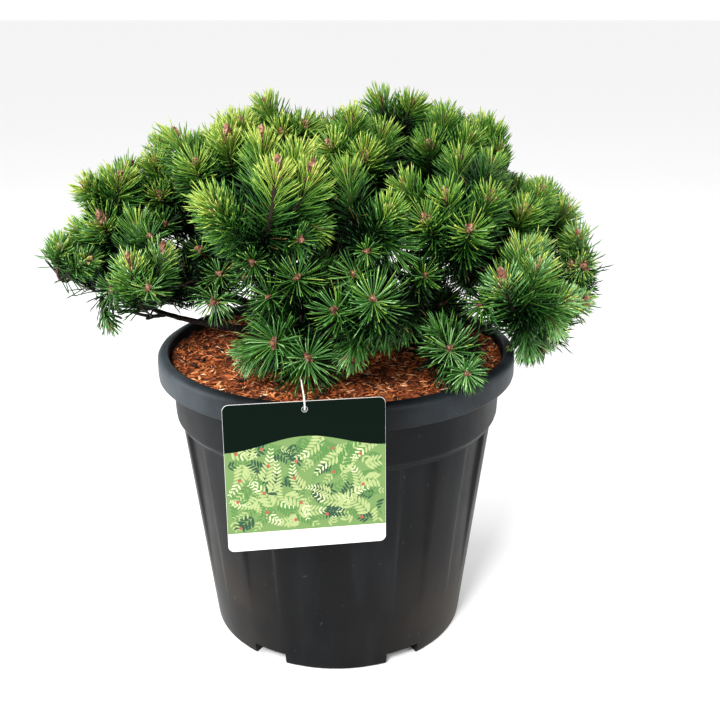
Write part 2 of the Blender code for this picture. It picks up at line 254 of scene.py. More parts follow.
def tube(heap, centres, radii, sides, tone=0, relief=None):
    # A closed round tube along centres, with a small cone at its far end
    centres = np.asarray(centres, float)
    tangents = unit(np.gradient(centres, axis=0))
    angles = np.arange(sides) * math.tau / sides
    normal = unit(np.cross(tangents[0], (0.31, 0.42, 0.85)))
    rings = []
    for centre, tangent, radius, run in zip(centres, tangents, radii, runsAlong(centres)):
        normal = unit(normal - tangent * (normal @ tangent))
        reach = radius * (relief(run, angles) if relief else np.ones(sides))
        rings.append(centre + reach[:, None] * roundOn(angles, normal, np.cross(tangent, normal)))
    last = len(centres) * sides
    ends = [centres[0], centres[-1] + tangents[-1] * radii[-1]]
    faces = gridFaces(len(centres), sides)
    for k in range(sides):
        n = (k + 1) % sides
        faces += [(n, k, last), (last - sides + k, last - sides + n, last + 1)]
    heap.add(np.concatenate([*rings, ends]), faces, tone)


def curveBetween(start, heading, end, arrival, count):
    # A smooth run that leaves along heading and comes in along arrival
    start, end = np.asarray(start, float), np.asarray(end, float)
    reach = np.linalg.norm(end - start) * 0.38
    a, b = start + unit(heading) * reach, end - unit(arrival) * reach
    t = np.linspace(0.0, 1.0, count)[:, None]
    return (1 - t) ** 3 * start + 3 * (1 - t) ** 2 * t * a + 3 * (1 - t) * t**2 * b + t**3 * end


def smoothLine(centres, radii, spacing):
    # The same limb with closer points, on a curve through the given ones
    runs = runsAlong(centres)
    fine = np.linspace(0.0, runs[-1], max(int(runs[-1] / spacing), 4))
    slopes = np.gradient(centres, runs, axis=0)
    made = []
    for run in fine:
        k = min(np.searchsorted(runs, run, side="right") - 1, len(runs) - 2)
        width = runs[k + 1] - runs[k]
        t = (run - runs[k]) / width
        made.append(
            (2 * t**3 - 3 * t**2 + 1) * centres[k]
            + (t**3 - 2 * t**2 + t) * width * slopes[k]
            + (3 * t**2 - 2 * t**3) * centres[k + 1]
            + (t**3 - t**2) * width * slopes[k + 1]
        )
    return np.array(made), np.interp(fine, runs, radii)


# The pot: black polypropylene, injection moulded, so it is satin with a soft broad shine and a fine grain

potSizes = {
    "mouthRadius": 0.190,
    "collarTopRadius": 0.1868,
    "collarFootRadius": 0.1848,
    "collarFootZ": 0.262,
    "wallTopRadius": 0.1790,
    "wallTopZ": 0.2565,
    "baseRadius": 0.1490,
    "bandHeight": 0.027,
    "wall": 0.003,
    "rimFillet": 0.0085,
    "fluteCount": 12,
    "fluteDepth": 0.0042,
    "fluteFlatDeg": 5.4,
    "fluteEdgeDeg": 7.6,
    "fluteTopGap": 0.0035,  # from the collar's foot down to the flutes
    "fluteLowZ": 0.055,
    "wallRings": 16,
    "notchCount": 6,
    "notchWidth": 0.041,
    "notchHeight": 0.0135,
    "notchInnerRadius": 0.118,
    "drainRadius": 0.008,
    "drainCircle": 0.092,
    "sharpDeg": 38,
}

# Where dust and painted light lie: soil dust low on the wall, growing towards both flanks partly as painted
# sheen, and a painted pale reflection on the rim's top band at both sides; as the coordinate's start and end
# and the share at each
dustAndPaintedLightSpans = {
    "low": ("Z", 0.26, 0.01, 0.0, 1.0),
    # The flanks take more dust, partly as painted sheen on the pot's sides
    "flank": ("aside", 0.05, 0.14, 0.06, 0.42),
    # The rim's top band and its sides carry a painted reflection
    "rimHighReflection": ("Z", 0.304, 0.312, 0.0, 1.0),
    "rimAsideReflection": ("aside", 0.05, 0.17, 0.0, 0.85),
}


def plasticMaterial():
    # Fine dust on the wall scatters light at a low angle, which the sheen gives
    material = newMaterial(
        "mouldedBlackPolypropylene",
        Roughness=0.42,
        IOR=1.49,
        Specular_IOR_Level=0.18,
        Sheen_Weight=0.06,
        Sheen_Roughness=0.20,
        Sheen_Tint=toLinear("#dfe6e6"),
    )
    where = addNode(material, "TexCoord", {}).outputs["Object"]
    # Long faint streaks run down the wall from handling and rain
    stretched = addNode(material, "Mapping", {"Vector": where, "Scale": (1.0, 1.0, 0.14)})
    streaks = addNode(material, "TexNoise", {"Vector": stretched, "Scale": 34.0, "Detail": 5.0})
    clouds = addNode(material, "TexNoise", {"Vector": where, "Scale": 9.0, "Detail": 6.0, "Roughness": 0.62})
    scuffs = addNode(material, "TexNoise", {"Vector": where, "Scale": 160.0, "Detail": 3.0})
    place = addNode(material, "SeparateXYZ", {"Vector": where}).outputs
    sources = {"Z": place["Z"], "aside": addNode(material, "Math", {0: place["X"]}, operation="ABSOLUTE")}
    reach = {}
    for name, (source, *limits) in dustAndPaintedLightSpans.items():
        inputs = dict(zip(("From Min", "From Max", "To Min", "To Max"), limits))
        reach[name] = addNode(material, "MapRange", {"Value": sources[source], **inputs})
    patchy = rampOf(material, clouds, ((0.36, 0.0), (0.66, 1.0)))
    cloudy = rampOf(material, clouds, ((0.34, 0.20), (0.60, 1.0)))
    specks = rampOf(material, scuffs, ((0.69, 0.0), (0.77, 1.0)))
    colour = rampOf(material, streaks, ((0.30, "#060709"), (0.52, "#0a0c0f"), (0.72, "#13171a")))
    # Dry soil dust lies low on the wall at both sides, more of it towards the flanks, where it also stands in
    # as painted sheen; the rim's top band is painted pale blue grey towards both sides in cloudy patches, a
    # painted reflection of the bright surroundings; and pale specks lie all over
    for factors, tone in (
        ((reach["low"], patchy, reach["flank"]), "#5c5248"),
        # Painted reflection: pale blue grey on the rim's sides
        ((reach["rimHighReflection"], reach["rimAsideReflection"], cloudy), "#444b50"),
        ((specks, 0.22), "#6c7074"),
    ):
        share = factors[0]
        for factor in factors[1:]:
            share = addNode(material, "Math", {0: share, 1: factor}, operation="MULTIPLY")
        colour = addNode(material, "MixRGB", {"Fac": share, "Color1": colour, "Color2": toLinear(tone)})
    rough = rampOf(material, clouds, ((0.30, 0.36), (0.70, 0.56)))
    bump = addNode(material, "Bump", {"Height": scuffs, "Strength": 0.12, "Distance": 0.0006})
    feedShader(material, Base_Color=colour, Roughness=rough, Normal=bump)
    return material


def filletedProfile(corners, arcSteps=5):
    # Corners are (radius, z, fillet); each fillet is turned into an arc
    made = []
    for index, (radius, z, fillet) in enumerate(corners):
        here = np.array((radius, z))
        if fillet == 0.0:
            made.append(here)
            continue
        before, after = np.array(corners[index - 1][:2]), np.array(corners[index + 1][:2])
        a, b = here + unit(before - here) * fillet, here + unit(after - here) * fillet
        for t in np.linspace(0.0, 1.0, arcSteps):
            made.append((1 - t) ** 2 * a + 2 * (1 - t) * t * here + t**2 * b)
    return np.array(made)


def fluteDepthAt(z, angleFromFlute):
    # Full depth just under the collar, fading out towards the foot
    p = potSizes
    top = p["wallTopZ"] - p["fluteTopGap"]
    if z > top or z < p["fluteLowZ"]:
        return 0.0
    share = (z - p["fluteLowZ"]) / (top - p["fluteLowZ"])
    across = (p["fluteEdgeDeg"] - abs(math.degrees(angleFromFlute))) / (p["fluteEdgeDeg"] - p["fluteFlatDeg"])
    across = min(max(across, 0.0), 1.0)
    across = across * across * (3 - 2 * across)
    return p["fluteDepth"] * across * min(1.0, 1.35 * share)


def finishMesh(name, bm):
    mesh = bpy.data.meshes.new(name)
    bm.to_mesh(mesh)
    bm.free()
    return addObject(name, mesh)


def turnedMesh(name, profile, angles, dented=False):
    bm = bmesh.new()
    rings = []
    sector = math.tau / potSizes["fluteCount"]
    for radius, z in profile:
        if radius < 1e-6:
            rings.append([bm.verts.new((0.0, 0.0, z))])
            continue
        ring = []
        for angle in angles:
            offset = (angle - math.pi / 2 + sector / 2) % sector - sector / 2
            reach = radius - (fluteDepthAt(z, offset) if dented else 0.0)
            ring.append(bm.verts.new((reach * math.cos(angle), reach * math.sin(angle), z)))
        rings.append(ring)
    for upper, lower in zip(rings, rings[1:]):
        for k in range(len(angles)):
            n = (k + 1) % len(angles)
            corners = [ring[j % len(ring)] for ring, j in ((upper, k), (upper, n), (lower, n), (lower, k))]
            bm.faces.new(list(dict.fromkeys(corners)))
    bmesh.ops.recalc_face_normals(bm, faces=bm.faces)
    return finishMesh(name, bm)


def cutAway(target, *cutters):
    # Takes the cutters out of the target and drops them
    for cutter in cutters:
        boolean = target.modifiers.new(cutter.name, "BOOLEAN")
        boolean.operation = "DIFFERENCE"
        boolean.solver = "EXACT"
        boolean.object = cutter
    graph = bpy.context.evaluated_depsgraph_get()
    shape = bpy.data.meshes.new_from_object(target.evaluated_get(graph))
    target.modifiers.clear()
    target.data = shape
    for cutter in cutters:
        bpy.data.objects.remove(cutter)


def notchBlocks(name, extra):
    p = potSizes
    bm = bmesh.new()
    inner, outer = p["notchInnerRadius"] - extra, p["baseRadius"] + 0.05
    low, high = -0.02, p["notchHeight"] + extra
    size = Vector((outer - inner, p["notchWidth"] + 2 * extra, high - low, 1.0))
    middle = Matrix.Translation(((outer + inner) / 2, 0.0, (high + low) / 2))
    for index in range(p["notchCount"]):
        turn = Matrix.Rotation(math.tau * index / p["notchCount"], 4, "Z")
        bmesh.ops.create_cube(bm, matrix=turn @ middle @ Matrix.Diagonal(size))
    return finishMesh(name, bm)


def drainCutters():
    p = potSizes
    bm = bmesh.new()
    hole = {"radius1": p["drainRadius"], "radius2": p["drainRadius"], "depth": 0.02, "segments": 28}
    for index in range(p["notchCount"]):
        turn = Matrix.Rotation(math.tau * (index + 0.5) / p["notchCount"], 4, "Z")
        place = Matrix.Translation(turn @ Vector((p["drainCircle"], 0.0, 0.0)))
        bmesh.ops.create_cone(bm, cap_ends=True, matrix=place, **hole)
    return finishMesh("drainCutters", bm)


def potOutside(rim, top):
    p = potSizes
    bandFoot = top - p["bandHeight"]
    outside = filletedProfile(
        (
            (0.0, top, 0.0),
            (p["mouthRadius"] - 0.002, top, 0.0),
            (rim, top, p["rimFillet"]),
            (rim, bandFoot, 0.0022),
            (p["collarTopRadius"], bandFoot, 0.0008),
            (p["collarFootRadius"], p["collarFootZ"], 0.0034),
            (p["wallTopRadius"], p["wallTopZ"], 0.0030),
            (p["baseRadius"], 0.0, 0.0032),
            (0.0, 0.0, 0.0),
        )
    )
    # The long wall takes more rings, for the flutes that fade down it
    wallStart, wallEnd = (np.argmax(outside[:, 1] < z) for z in (p["wallTopZ"] - 0.0025, 0.01))
    a, b = outside[wallStart], outside[wallEnd]
    topRing = p["wallTopZ"] - p["fluteTopGap"] - 0.0001
    heights = [topRing, *np.linspace(p["wallTopZ"] - 0.012, 0.02, p["wallRings"])]
    rings = [a + (b - a) * (a[1] - z) / (a[1] - b[1]) for z in heights]
    return np.array([*outside[: wallStart + 1], *rings, *outside[wallEnd:]])


def potInside(top):
    p = potSizes
    mouth, insideWall = p["mouthRadius"], p["wall"] + p["fluteDepth"]
    return filletedProfile(
        (
            (0.0, top + 0.01, 0.0),
            (mouth + 0.0012, top + 0.01, 0.0),
            (mouth + 0.0012, top, 0.0),
            (mouth, top - 0.0016, 0.0006),
            (mouth - 0.0005, 0.314, 0.003),
            (p["collarTopRadius"] - 0.003, 0.3065, 0.003),
            (p["collarFootRadius"] - 0.0028, p["collarFootZ"] + 0.004, 0.003),
            (p["wallTopRadius"] - insideWall, p["collarFootZ"] - 0.008, 0.003),
            (p["baseRadius"] - insideWall, 0.0095, 0.002),
            (p["baseRadius"] - insideWall - 0.004, 0.003, 0.002),
            (0.0, 0.003, 0.0),
        )
    )


def makePot():
    high = boxes["pot"][1]
    # Points round the pot stand close at the edges of the flutes
    half = (2.6, 5.2, 5.8, 6.4, 7.0, 7.6, 9.0, 12.0)
    offsets = np.radians([-d for d in reversed(half)] + [0.0, *half])
    flutes = [math.pi / 2 + math.tau * k / potSizes["fluteCount"] for k in range(potSizes["fluteCount"])]
    angles = [flute + offset for flute in flutes for offset in offsets]
    pot = turnedMesh("pot_moulded", potOutside(high.x, high.z), angles, dented=True)
    cavity = turnedMesh("cavity", potInside(high.z), [math.tau * k / 72 for k in range(72)])
    cutAway(cavity, notchBlocks("notchRoofs", potSizes["wall"]))
    cutAway(pot, cavity, notchBlocks("notches", 0.0), drainCutters())
    pot.data.materials.clear()
    pot.data.materials.append(plasticMaterial())
    pot.data.shade_smooth()
    pot.data.set_sharp_from_angle(angle=math.radians(potSizes["sharpDeg"]))
    print("pot_moulded triangles:", sum(len(face.vertices) - 2 for face in pot.data.polygons))
    declare(pot, ["pot"])


makePot()


# The mulch: shredded pine bark and coir, torn into splinters, dry on top and matt

mulch = {
    "seed": 7,
    "edgeRadius": 0.1885,
    "rings": 52,
    "ringPoints": 150,
    "fall": 0.0045,  # lower at the wall than in the middle
    "reliefMm": 3.0,
    "lumpsPerMetre": (38, 105),
    # Below the surface the bed follows the pot's inside down to its floor, as radius and height
    "flank": (
        (0.1870, 0.312),
        (0.1810, 0.300),
        (0.1790, 0.266),
        (0.1685, 0.250),
        (0.1400, 0.024),
        (0.100, 0.022),
    ),
    "splinters": 6800,
    "lengthMm": (4.0, 9.0, 17.0),
    "widthMm": (1.0, 1.6, 3.6),
    "thickShare": (0.25, 0.6),
    "bowShare": (-0.07, 0.10),
    "skewShare": (-0.22, 0.22),
    "tilt": 0.20,
    "lift": (-0.0002, 0.0028),  # above the bed's own surface
    "tones": ("#d88650", "#bd6a38", "#eaaa78", "#94502c", "#f4cfaa", "#2a1a12", "#ca7846"),
    "shares": (0.20, 0.22, 0.09, 0.22, 0.04, 0.13, 0.10),
    "lumps": 60,  # dark bark lumps among the fibres
    "lumpTones": (3, 5, 5),
    "lumpMm": (7.0, 15.0),
    "lumpThick": (0.10, 0.17),  # share of a lump's length
    "lumpLift": 0.0012,
}


def mulchHeight(x, y):
    across = min(math.hypot(x, y) / mulch["edgeRadius"], 1.0)
    coarse, fine = mulch["lumpsPerMetre"]
    lumps = noise.noise(Vector((x * coarse, y * coarse, 1.7)))
    lumps += 0.55 * noise.noise(Vector((x * fine, y * fine, 4.1)))
    return boxes["growing_medium"][1].z - mulch["fall"] * across**2 + mulch["reliefMm"] / 1000 * lumps


def mulchBedMaterial():
    # Fibre bundles about 3 mm wide, matt, in patches of lighter and darker fibre
    material = newMaterial("shreddedBarkBed", Roughness=0.88)
    where = addNode(material, "TexCoord", {}).outputs["Object"]
    grain = addNode(material, "TexNoise", {"Vector": where, "Scale": 330.0, "Detail": 4.0})
    patches = addNode(material, "TexNoise", {"Vector": where, "Scale": 45.0, "Detail": 3.0})
    mixed = addNode(material, "Math", {0: grain, 1: patches}, operation="MULTIPLY")
    colour = rampOf(material, mixed, ((0.12, "#23120a"), (0.26, "#7a4122"), (0.42, "#b86e3a")))
    bump = addNode(material, "Bump", {"Height": grain, "Strength": 0.6, "Distance": 0.002})
    feedShader(material, Base_Color=colour, Normal=bump)
    return material


def makeMulchBed():
    edge, columns = mulch["edgeRadius"], mulch["ringPoints"]
    surfaceRings = [(edge * row / mulch["rings"], None) for row in range(1, mulch["rings"] + 1)]
    points = []
    for radius, z in (*surfaceRings, *mulch["flank"]):
        for k in range(columns):
            angle = math.tau * k / columns
            x, y = radius * math.cos(angle), radius * math.sin(angle)
            points.append((x, y, mulchHeight(x, y) if z is None else z))
    centre, bottom = len(points), len(points) + 1
    faces = gridFaces(centre // columns, columns)
    points += [(0.0, 0.0, mulchHeight(0.0, 0.0)), (0.0, 0.0, mulch["flank"][-1][1])]
    for k in range(columns):
        n = (k + 1) % columns
        faces += [(k, n, centre), (centre - columns + n, centre - columns + k, bottom)]
    heap = Heap()
    heap.add(points, faces)
    declare(heap.build("mulch_bed", [mulchBedMaterial()]), ["growing_medium"])


def makeSplinters():
    rng = np.random.default_rng(mulch["seed"])
    heap = Heap()
    edge = mulch["edgeRadius"]
    octahedron = [(0, 2, 4), (2, 1, 4), (1, 3, 4), (3, 0, 4), (2, 0, 5), (1, 2, 5), (3, 1, 5), (0, 3, 5)]
    for tone in rng.choice(len(mulch["tones"]), mulch["splinters"], p=mulch["shares"]):
        radius = edge * math.sqrt(rng.uniform(0.0, 1.0)) * 0.985
        angle = rng.uniform(0.0, math.tau)
        x, y = radius * math.cos(angle), radius * math.sin(angle)
        length = rng.triangular(*mulch["lengthMm"]) / 1000
        width = rng.triangular(*mulch["widthMm"]) / 1000
        turn, tilt = rng.uniform(0.0, math.tau), rng.normal(0.0, mulch["tilt"])
        along = np.array((math.cos(turn) * math.cos(tilt), math.sin(turn) * math.cos(tilt), math.sin(tilt)))
        across = unit(np.cross(along, unit(rng.normal(0, 0.45, 3) + (0, 0, 1.0))))
        through = np.cross(along, across)
        if max(math.hypot(x + s * along[0] * length, y + s * along[1] * length) for s in (0.5, -0.5)) > edge:
            continue
        middle = np.array((x, y, mulchHeight(x, y) + rng.uniform(*mulch["lift"])))
        bowed = middle + through * length * rng.uniform(*mulch["bowShare"])
        thick = width * rng.uniform(*mulch["thickShare"])
        skew = along * length * rng.uniform(*mulch["skewShare"])
        points = (
            middle + along * length / 2,
            middle - along * length / 2,
            bowed + across * width / 2 + skew,
            bowed - across * width / 2 + skew * 0.4,
            bowed + through * thick / 2,
            bowed - through * thick / 2,
        )
        heap.add(points, octahedron, tone)
    for _ in range(mulch["lumps"]):
        # Dark bark lumps and broken ends of dead twigs lie on top
        radius = edge * 0.93 * math.sqrt(rng.uniform())
        angle, turn = rng.uniform(0, math.tau), rng.uniform(0, math.tau)
        x, y = radius * math.cos(angle), radius * math.sin(angle)
        length = rng.uniform(*mulch["lumpMm"]) / 1000
        if radius + length / 2 > edge:
            continue
        run = np.linspace(-0.5, 0.5, 7)[:, None] * length
        place = (x, y, mulchHeight(x, y) + mulch["lumpLift"])
        line = place + run * (math.cos(turn), math.sin(turn), rng.normal(0, 0.1))
        size = length * rng.uniform(*mulch["lumpThick"])
        tube(heap, line, size * rng.uniform(0.65, 1.15, 7), 6, tone=int(rng.choice(mulch["lumpTones"])))
    tones = toneMaterials("tornBark", mulch["tones"], Roughness=0.82)
    declare(heap.build("mulch_splinters", tones, smooth=False))


makeMulchBed()
makeSplinters()


# The crown: shoot tips first, then limbs that branch out to them, then needles and buds

crown = {
    "seed": 23,
    "tipSpacing": 0.040,  # between one bud and the next over the crown's surface
    "meetSpacing": 1.15,  # and this much wider where two masses meet
    "tipInset": 0.019,  # needles pass the bud by about this much
    "facingInset": 0.012,
    "innerKeep": 0.26,  # share of the shoots kept where two masses meet
    "innerDepth": 0.030,
    "backStart": 0.06,  # behind this the shoots stand closer, and more of the inner ones stay
    "backSpacing": 0.85,
    "backInnerKeep": 0.45,
    "spareTries": 6500,
    "spareSize": (0.82, 1.08),
    "fillTries": 900,
    "fillFrom": (-0.26, -0.06),  # the part of the plan that is looked over for gaps
    "fillTo": (0.22, 0.26),
    "fillAround": 0.13,  # a gap has shoots in all four quarters within this
    "fillSpacing": 0.031,
    "fillDrop": 0.030,
    "fillDim": 0.4,
    "gapPixels": 6,  # shoots stay this far aside of a gap
    "clearPixels": 30,  # and this far aside of one that shows in the photograph, unless they stand behind it
    "clearDepth": 0.025,
    "openAxis": 0.075,  # and of this much of the axis of a candle
    "needledLength": (0.056, 0.080),
    "candleLength": 1.15,
    "needleReach": 0.017,  # how far needles stand past the bud
    "undersidePixel": 236,  # below this row of the photograph the outline is the crown's underside
    "hollowDepth": 0.040,  # shoots in a hollow stand this much deeper
    "hollowDim": 0.25,
    "strayUnder": 0.08,  # share of needles that may cross the outline there, and above
    "strayAbove": 0.55,
    "strayFar": 0.06,
    "strayPixels": 6.0,
    "ragged": 3.5,  # how unevenly the needles end along the outline, in pixels
    "middlePixel": (335.0, 250.0),
    "leaderReach": 0.011,
    "leaderShift": 0.010,
    "spareShift": 0.022,
    "shiftStep": 0.004,
    "axisBehind": 0.030,
}

# Shares of outward, up, towards the viewer and chance in a heading; mugo shoots bend up unless they hang
headings = {
    "candle": (0.30, 0.95, 0.30, 0.5),
    "upright": (0.50, 0.80, 0.0, 1.0),
    "sideways": (0.85, 0.45, 0.0, 1.0),
    "facing": (0.15, 0.10, 1.0, 1.0),
    "shaded": (0.15, 0.10, 1.0, 1.0),
    "hanging": (0.45, -0.75, 0.0, 1.0),
    "filled": (0.70, 0.75, 0.0, 1.6),
    "inner": (0.70, 0.75, 0.0, 1.6),
    "under": (0.70, 0.25, 0.0, 1.6),
}

# Buds that can be told apart in the photograph, by pixel, grouped by how the shoot stands;
# a third number is the size of a shoot, against the usual one
pixelTips = {
    "candle": (
        (276, 174), (228, 141), (262, 146), (161, 256, 0.8), (131, 266, 0.8), (103, 223), (503, 283),
        (571, 271, 0.8), (309, 178),
    ),
    "upright": (
        (176, 135), (160, 142, 0.8), (155, 161), (130, 168, 0.9), (120, 179), (179, 186), (138, 224),
        (215, 208), (282, 134), (330, 146), (347, 172), (350, 118), (266, 106), (305, 126), (240, 126),
        (380, 100), (412, 104), (444, 121), (480, 129, 1.1), (492, 136, 1.1), (500, 150, 0.8),
        (493, 164, 0.8), (365, 157), (429, 146), (458, 160), (406, 187), (389, 210), (446, 196),
        (490, 198), (524, 212), (565, 211), (523, 251), (538, 267), (300, 155), (196, 164), (470, 140),
        (540, 194), (470, 229), (425, 219), (196, 208), (160, 196),
    ),
    "sideways": (
        (86, 186), (60, 246, 0.8), (88, 260, 0.85), (578, 236), (583, 301, 0.8), (583, 266, 0.9),
        (568, 300, 0.8), (319, 228), (208, 202), (78, 232, 0.8),
    ),
    "facing": (
        (220, 274, 0.9), (214, 302, 0.85), (298, 277), (334, 310, 0.9), (354, 274, 0.9), (373, 299, 1.1),
        (274, 343), (308, 358), (449, 348), (467, 373, 0.6), (148, 288, 0.65), (443, 304, 0.85),
    ),
    "shaded": (
        (268, 297, 0.8), (246, 276, 0.8), (252, 262, 0.8), (470, 262, 0.8), (165, 224, 0.8),
        (150, 236, 0.8), (480, 305, 0.8), (425, 275, 0.75), (367, 251, 0.6), (199, 249, 0.6),
        (300, 240, 0.8), (182, 287, 0.75), (112, 290, 0.8),
    ),
    "inner": ((398, 250), (414, 262), (440, 330), (262, 318)),
    "hanging": ((110, 326, 0.7), (526, 350, 0.8), (556, 328, 0.75), (350, 358, 0.9)),
}

# Deep shade between the shoots, as pixel and reach in pixels
hollows = (
    (345, 240, 22), (385, 244, 24), (408, 240, 20), (262, 302, 24), (282, 318, 22), (448, 290, 20),
    (428, 345, 24), (165, 224, 22), (186, 232, 16), (318, 325, 18), (400, 325, 22), (515, 200, 12),
    (409, 128, 12), (455, 270, 16), (454, 152, 10), (430, 226, 14), (346, 208, 10), (402, 145, 10),
)

# Painted shade over areas of the crown, where all shoots are duller, or painted light, paler, if below
# nought, as pixel, reach and how much
paintedShadeAreas = (
    (445, 165, 100, 0.25), (330, 275, 90, 0.26), (295, 350, 80, 0.18), (545, 285, 90, -0.18),
    (90, 275, 60, -0.26), (280, 200, 60, -0.08), (140, 225, 80, 0.16),
)

# The crown's outline in the photograph, up the left side, over the top and down the right side
crownOutline = (
    (41, 256), (43, 236), (54, 230), (62, 218), (66, 205), (66, 190), (70, 182), (86, 170), (102, 164),
    (112, 157), (142, 151), (150, 146), (155, 126), (160, 120), (198, 132), (206, 120), (222, 110),
    (246, 104), (252, 90), (264, 85), (280, 89), (288, 106), (332, 118), (344, 105), (372, 84), (404, 89),
    (428, 97), (476, 104), (496, 109), (508, 124), (508, 158), (506, 172), (530, 175), (548, 174),
    (560, 188), (572, 199), (584, 218), (596, 255), (600, 300), (588, 318), (571, 326), (570, 350),
    (548, 353), (536, 373), (520, 373), (510, 350), (500, 420), (206, 420), (204, 316), (150, 304),
    (134, 297), (124, 308), (118, 340), (102, 336), (98, 298), (84, 285), (60, 269),
)

# Sky that shows through the crown, then mulch and rim that stay in sight, as pixel and reach in pixels
openSpots = (
    (164, 238, 2), (112, 248, 4), (205, 267, 3), (237, 291, 2), (228, 284, 2), (362, 264, 4),
    (404, 262, 3), (450, 264, 4), (474, 243, 4), (421, 290, 3), (547, 320, 3), (198, 296, 2),
    (256, 281, 2), (288, 257, 2), (186, 259, 2), (170, 312, 5), (185, 313, 3), (152, 306, 3),
    (519, 164, 6),
    (200, 345, 22), (212, 366, 18), (228, 384, 14), (496, 344, 10), (500, 362, 9), (506, 380, 12),
    (390, 385, 10), (380, 366, 10), (404, 362, 12), (418, 380, 10), (452, 404, 9), (470, 407, 10),
    (487, 402, 9), (500, 394, 8),
)

shallowKinds = ("facing", "hanging", "shaded")
massNames = sorted(name for name in frame["nodes"] if name.startswith("foliage_"))
boughNames = sorted(name for name in frame["nodes"] if name.startswith("bough_"))


def massSurface():
    # All masses as one surface, with the mass that each face belongs to
    points, faces, owners = [], [], []
    for name in massNames:
        mesh = frame["nodes"][name].data
        start = len(points)
        points += [vertex.co.copy() for vertex in mesh.vertices]
        faces += [[start + index for index in face.vertices] for face in mesh.polygons]
        owners += [name] * len(mesh.polygons)
    return BVHTree.FromPolygons(points, faces), points, faces, owners


surface, surfacePoints, surfaceFaces, surfaceOwners = massSurface()

shadeMap = {"perMetre": 100, "reach": 36, "bearings": 72, "levels": (30, 66)}


def shellMaps():
    # How high and how far out the crown reaches, by place and by bearing, for the shade inside it
    perMetre, reach, bearings = shadeMap["perMetre"], shadeMap["reach"], shadeMap["bearings"]
    high, wide = {}, {}
    for i in range(-reach, reach + 1):
        for k in range(-reach, reach + 1):
            hit = surface.ray_cast(Vector((i / perMetre, k / perMetre, 1.0)), Vector((0.0, 0.0, -1.0)))[0]
            high[i, k] = hit.z if hit else 0.0
    for k in range(bearings):
        outward = Vector((math.cos(math.tau * k / bearings), math.sin(math.tau * k / bearings), 0.0))
        for level in range(*shadeMap["levels"]):
            hit = surface.ray_cast(outward * 0.6 + Vector((0.0, 0.0, level / perMetre)), -outward)[0]
            wide[k, level] = math.hypot(hit.x, hit.y) if hit else 0.0
    return high, wide


highestHere, widestHere = shellMaps()


def depthInside(points):
    # The shorter way out of the crown, upward or outward
    depths = []
    perMetre, bearings = shadeMap["perMetre"], shadeMap["bearings"]
    for x, y, z in points:
        above = highestHere.get((round(x * perMetre), round(y * perMetre)), 0.0) - z
        bearing = round(math.atan2(y, x) / math.tau * bearings) % bearings
        beyond = widestHere.get((bearing, round(z * perMetre)), 0.0) - math.hypot(x, y)
        depths.append(max(min(above, beyond), 0.0))
    return np.array(depths)


def massMiddle(name):
    low, high = boxes[name]
    return np.array((low + high) / 2)


def headingOf(kind, outward, rng):
    if kind in ("filled", "inner") and outward[2] <= -0.2:
        kind = "under"
    out, up, toViewer, chance = headings[kind]
    jitter = rng.normal(0.0, 0.10, 3)
    return unit(out * outward + np.array((0.0, 0.0, up)) - toViewer * sightAhead + chance * jitter)


def insideOutline(pixels):
    x, y = np.asarray(pixels)[..., 0], np.asarray(pixels)[..., 1]
    inside = np.zeros(x.shape, bool)
    for (ax, ay), (bx, by) in zip(crownOutline, crownOutline[1:] + crownOutline[:1]):
        if ay != by:
            inside ^= ((ay > y) != (by > y)) & (x < ax + (bx - ax) * (y - ay) / (by - ay))
    return inside


def shadeAt(pixel):
    # Over 1 in the middle of a hollow, 0 outside all of them
    shares = [1.0 - math.hypot(pixel[0] - x, pixel[1] - y) / reach for x, y, reach in hollows]
    return max(0.0, 1.4 * max(shares))


def drawIn(place, heading, outward, reach, most):
    # Moves a shoot back until its needles end inside the outline; None when that takes more than most
    for back in np.arange(0.0, most + 0.001, crown["shiftStep"]):
        moved = place - (0.6 * heading + 0.4 * outward) * back
        behind = moved - heading * crown["axisBehind"]
        corners = np.array((moved + heading * reach, moved + outward * 0.6 * reach, behind))
        if insideOutline(pixelOf(corners)).all():
            return moved
    return None


def tipOf(place, mass, kind, heading, size=1.0, dim=0.0):
    return {"place": place, "mass": mass, "kind": kind, "heading": heading, "size": size, "dim": dim}


def tipsFromPhoto(rng):
    tips = []
    for kind, pixels in pixelTips.items():
        for px, py, *size in pixels:
            sight = sightThrough(px, py)
            hit, _, index, _ = surface.ray_cast(Vector(view["place"]), Vector(sight))
            if hit is None:
                print("no mass behind pixel", px, py)
                continue
            place = np.array(hit) + sight * crown["facingInset" if kind in shallowKinds else "tipInset"]
            mass = surfaceOwners[index]
            outward = unit(place - massMiddle(mass) + 1e-6)
            heading = headingOf(kind, outward, rng)
            moved = drawIn(place, heading, outward, crown["leaderReach"], crown["leaderShift"])
            if moved is None:
                moved = place - (0.6 * heading + 0.4 * outward) * crown["leaderShift"]
            tips.append(tipOf(moved, mass, kind, heading, *size))
    return tips


def leadersOf(tips):
    # Where the shoots of the photograph show in it, and how far away they stand
    leaders = []
    for tip in tips:
        for back in (0.0, 0.5, 1.0) if tip["kind"] == "candle" else (0.0,):
            spot = tip["place"] - tip["heading"] * back * crown["openAxis"]
            leaders.append((pixelOf(spot), np.linalg.norm(spot - eye)))
    return leaders


def inTheWay(place, leaders):
    # Whether a shoot would cover one that shows in the photograph, a gap to the sky or the bare bed
    pixel = pixelOf(place)
    if any(math.hypot(pixel[0] - x, pixel[1] - y) < reach + crown["gapPixels"] for x, y, reach in openSpots):
        return True
    depth = np.linalg.norm(place - eye) - crown["clearDepth"]
    return any(math.hypot(*(pixel - known)) < crown["clearPixels"] and depth < far for known, far in leaders)


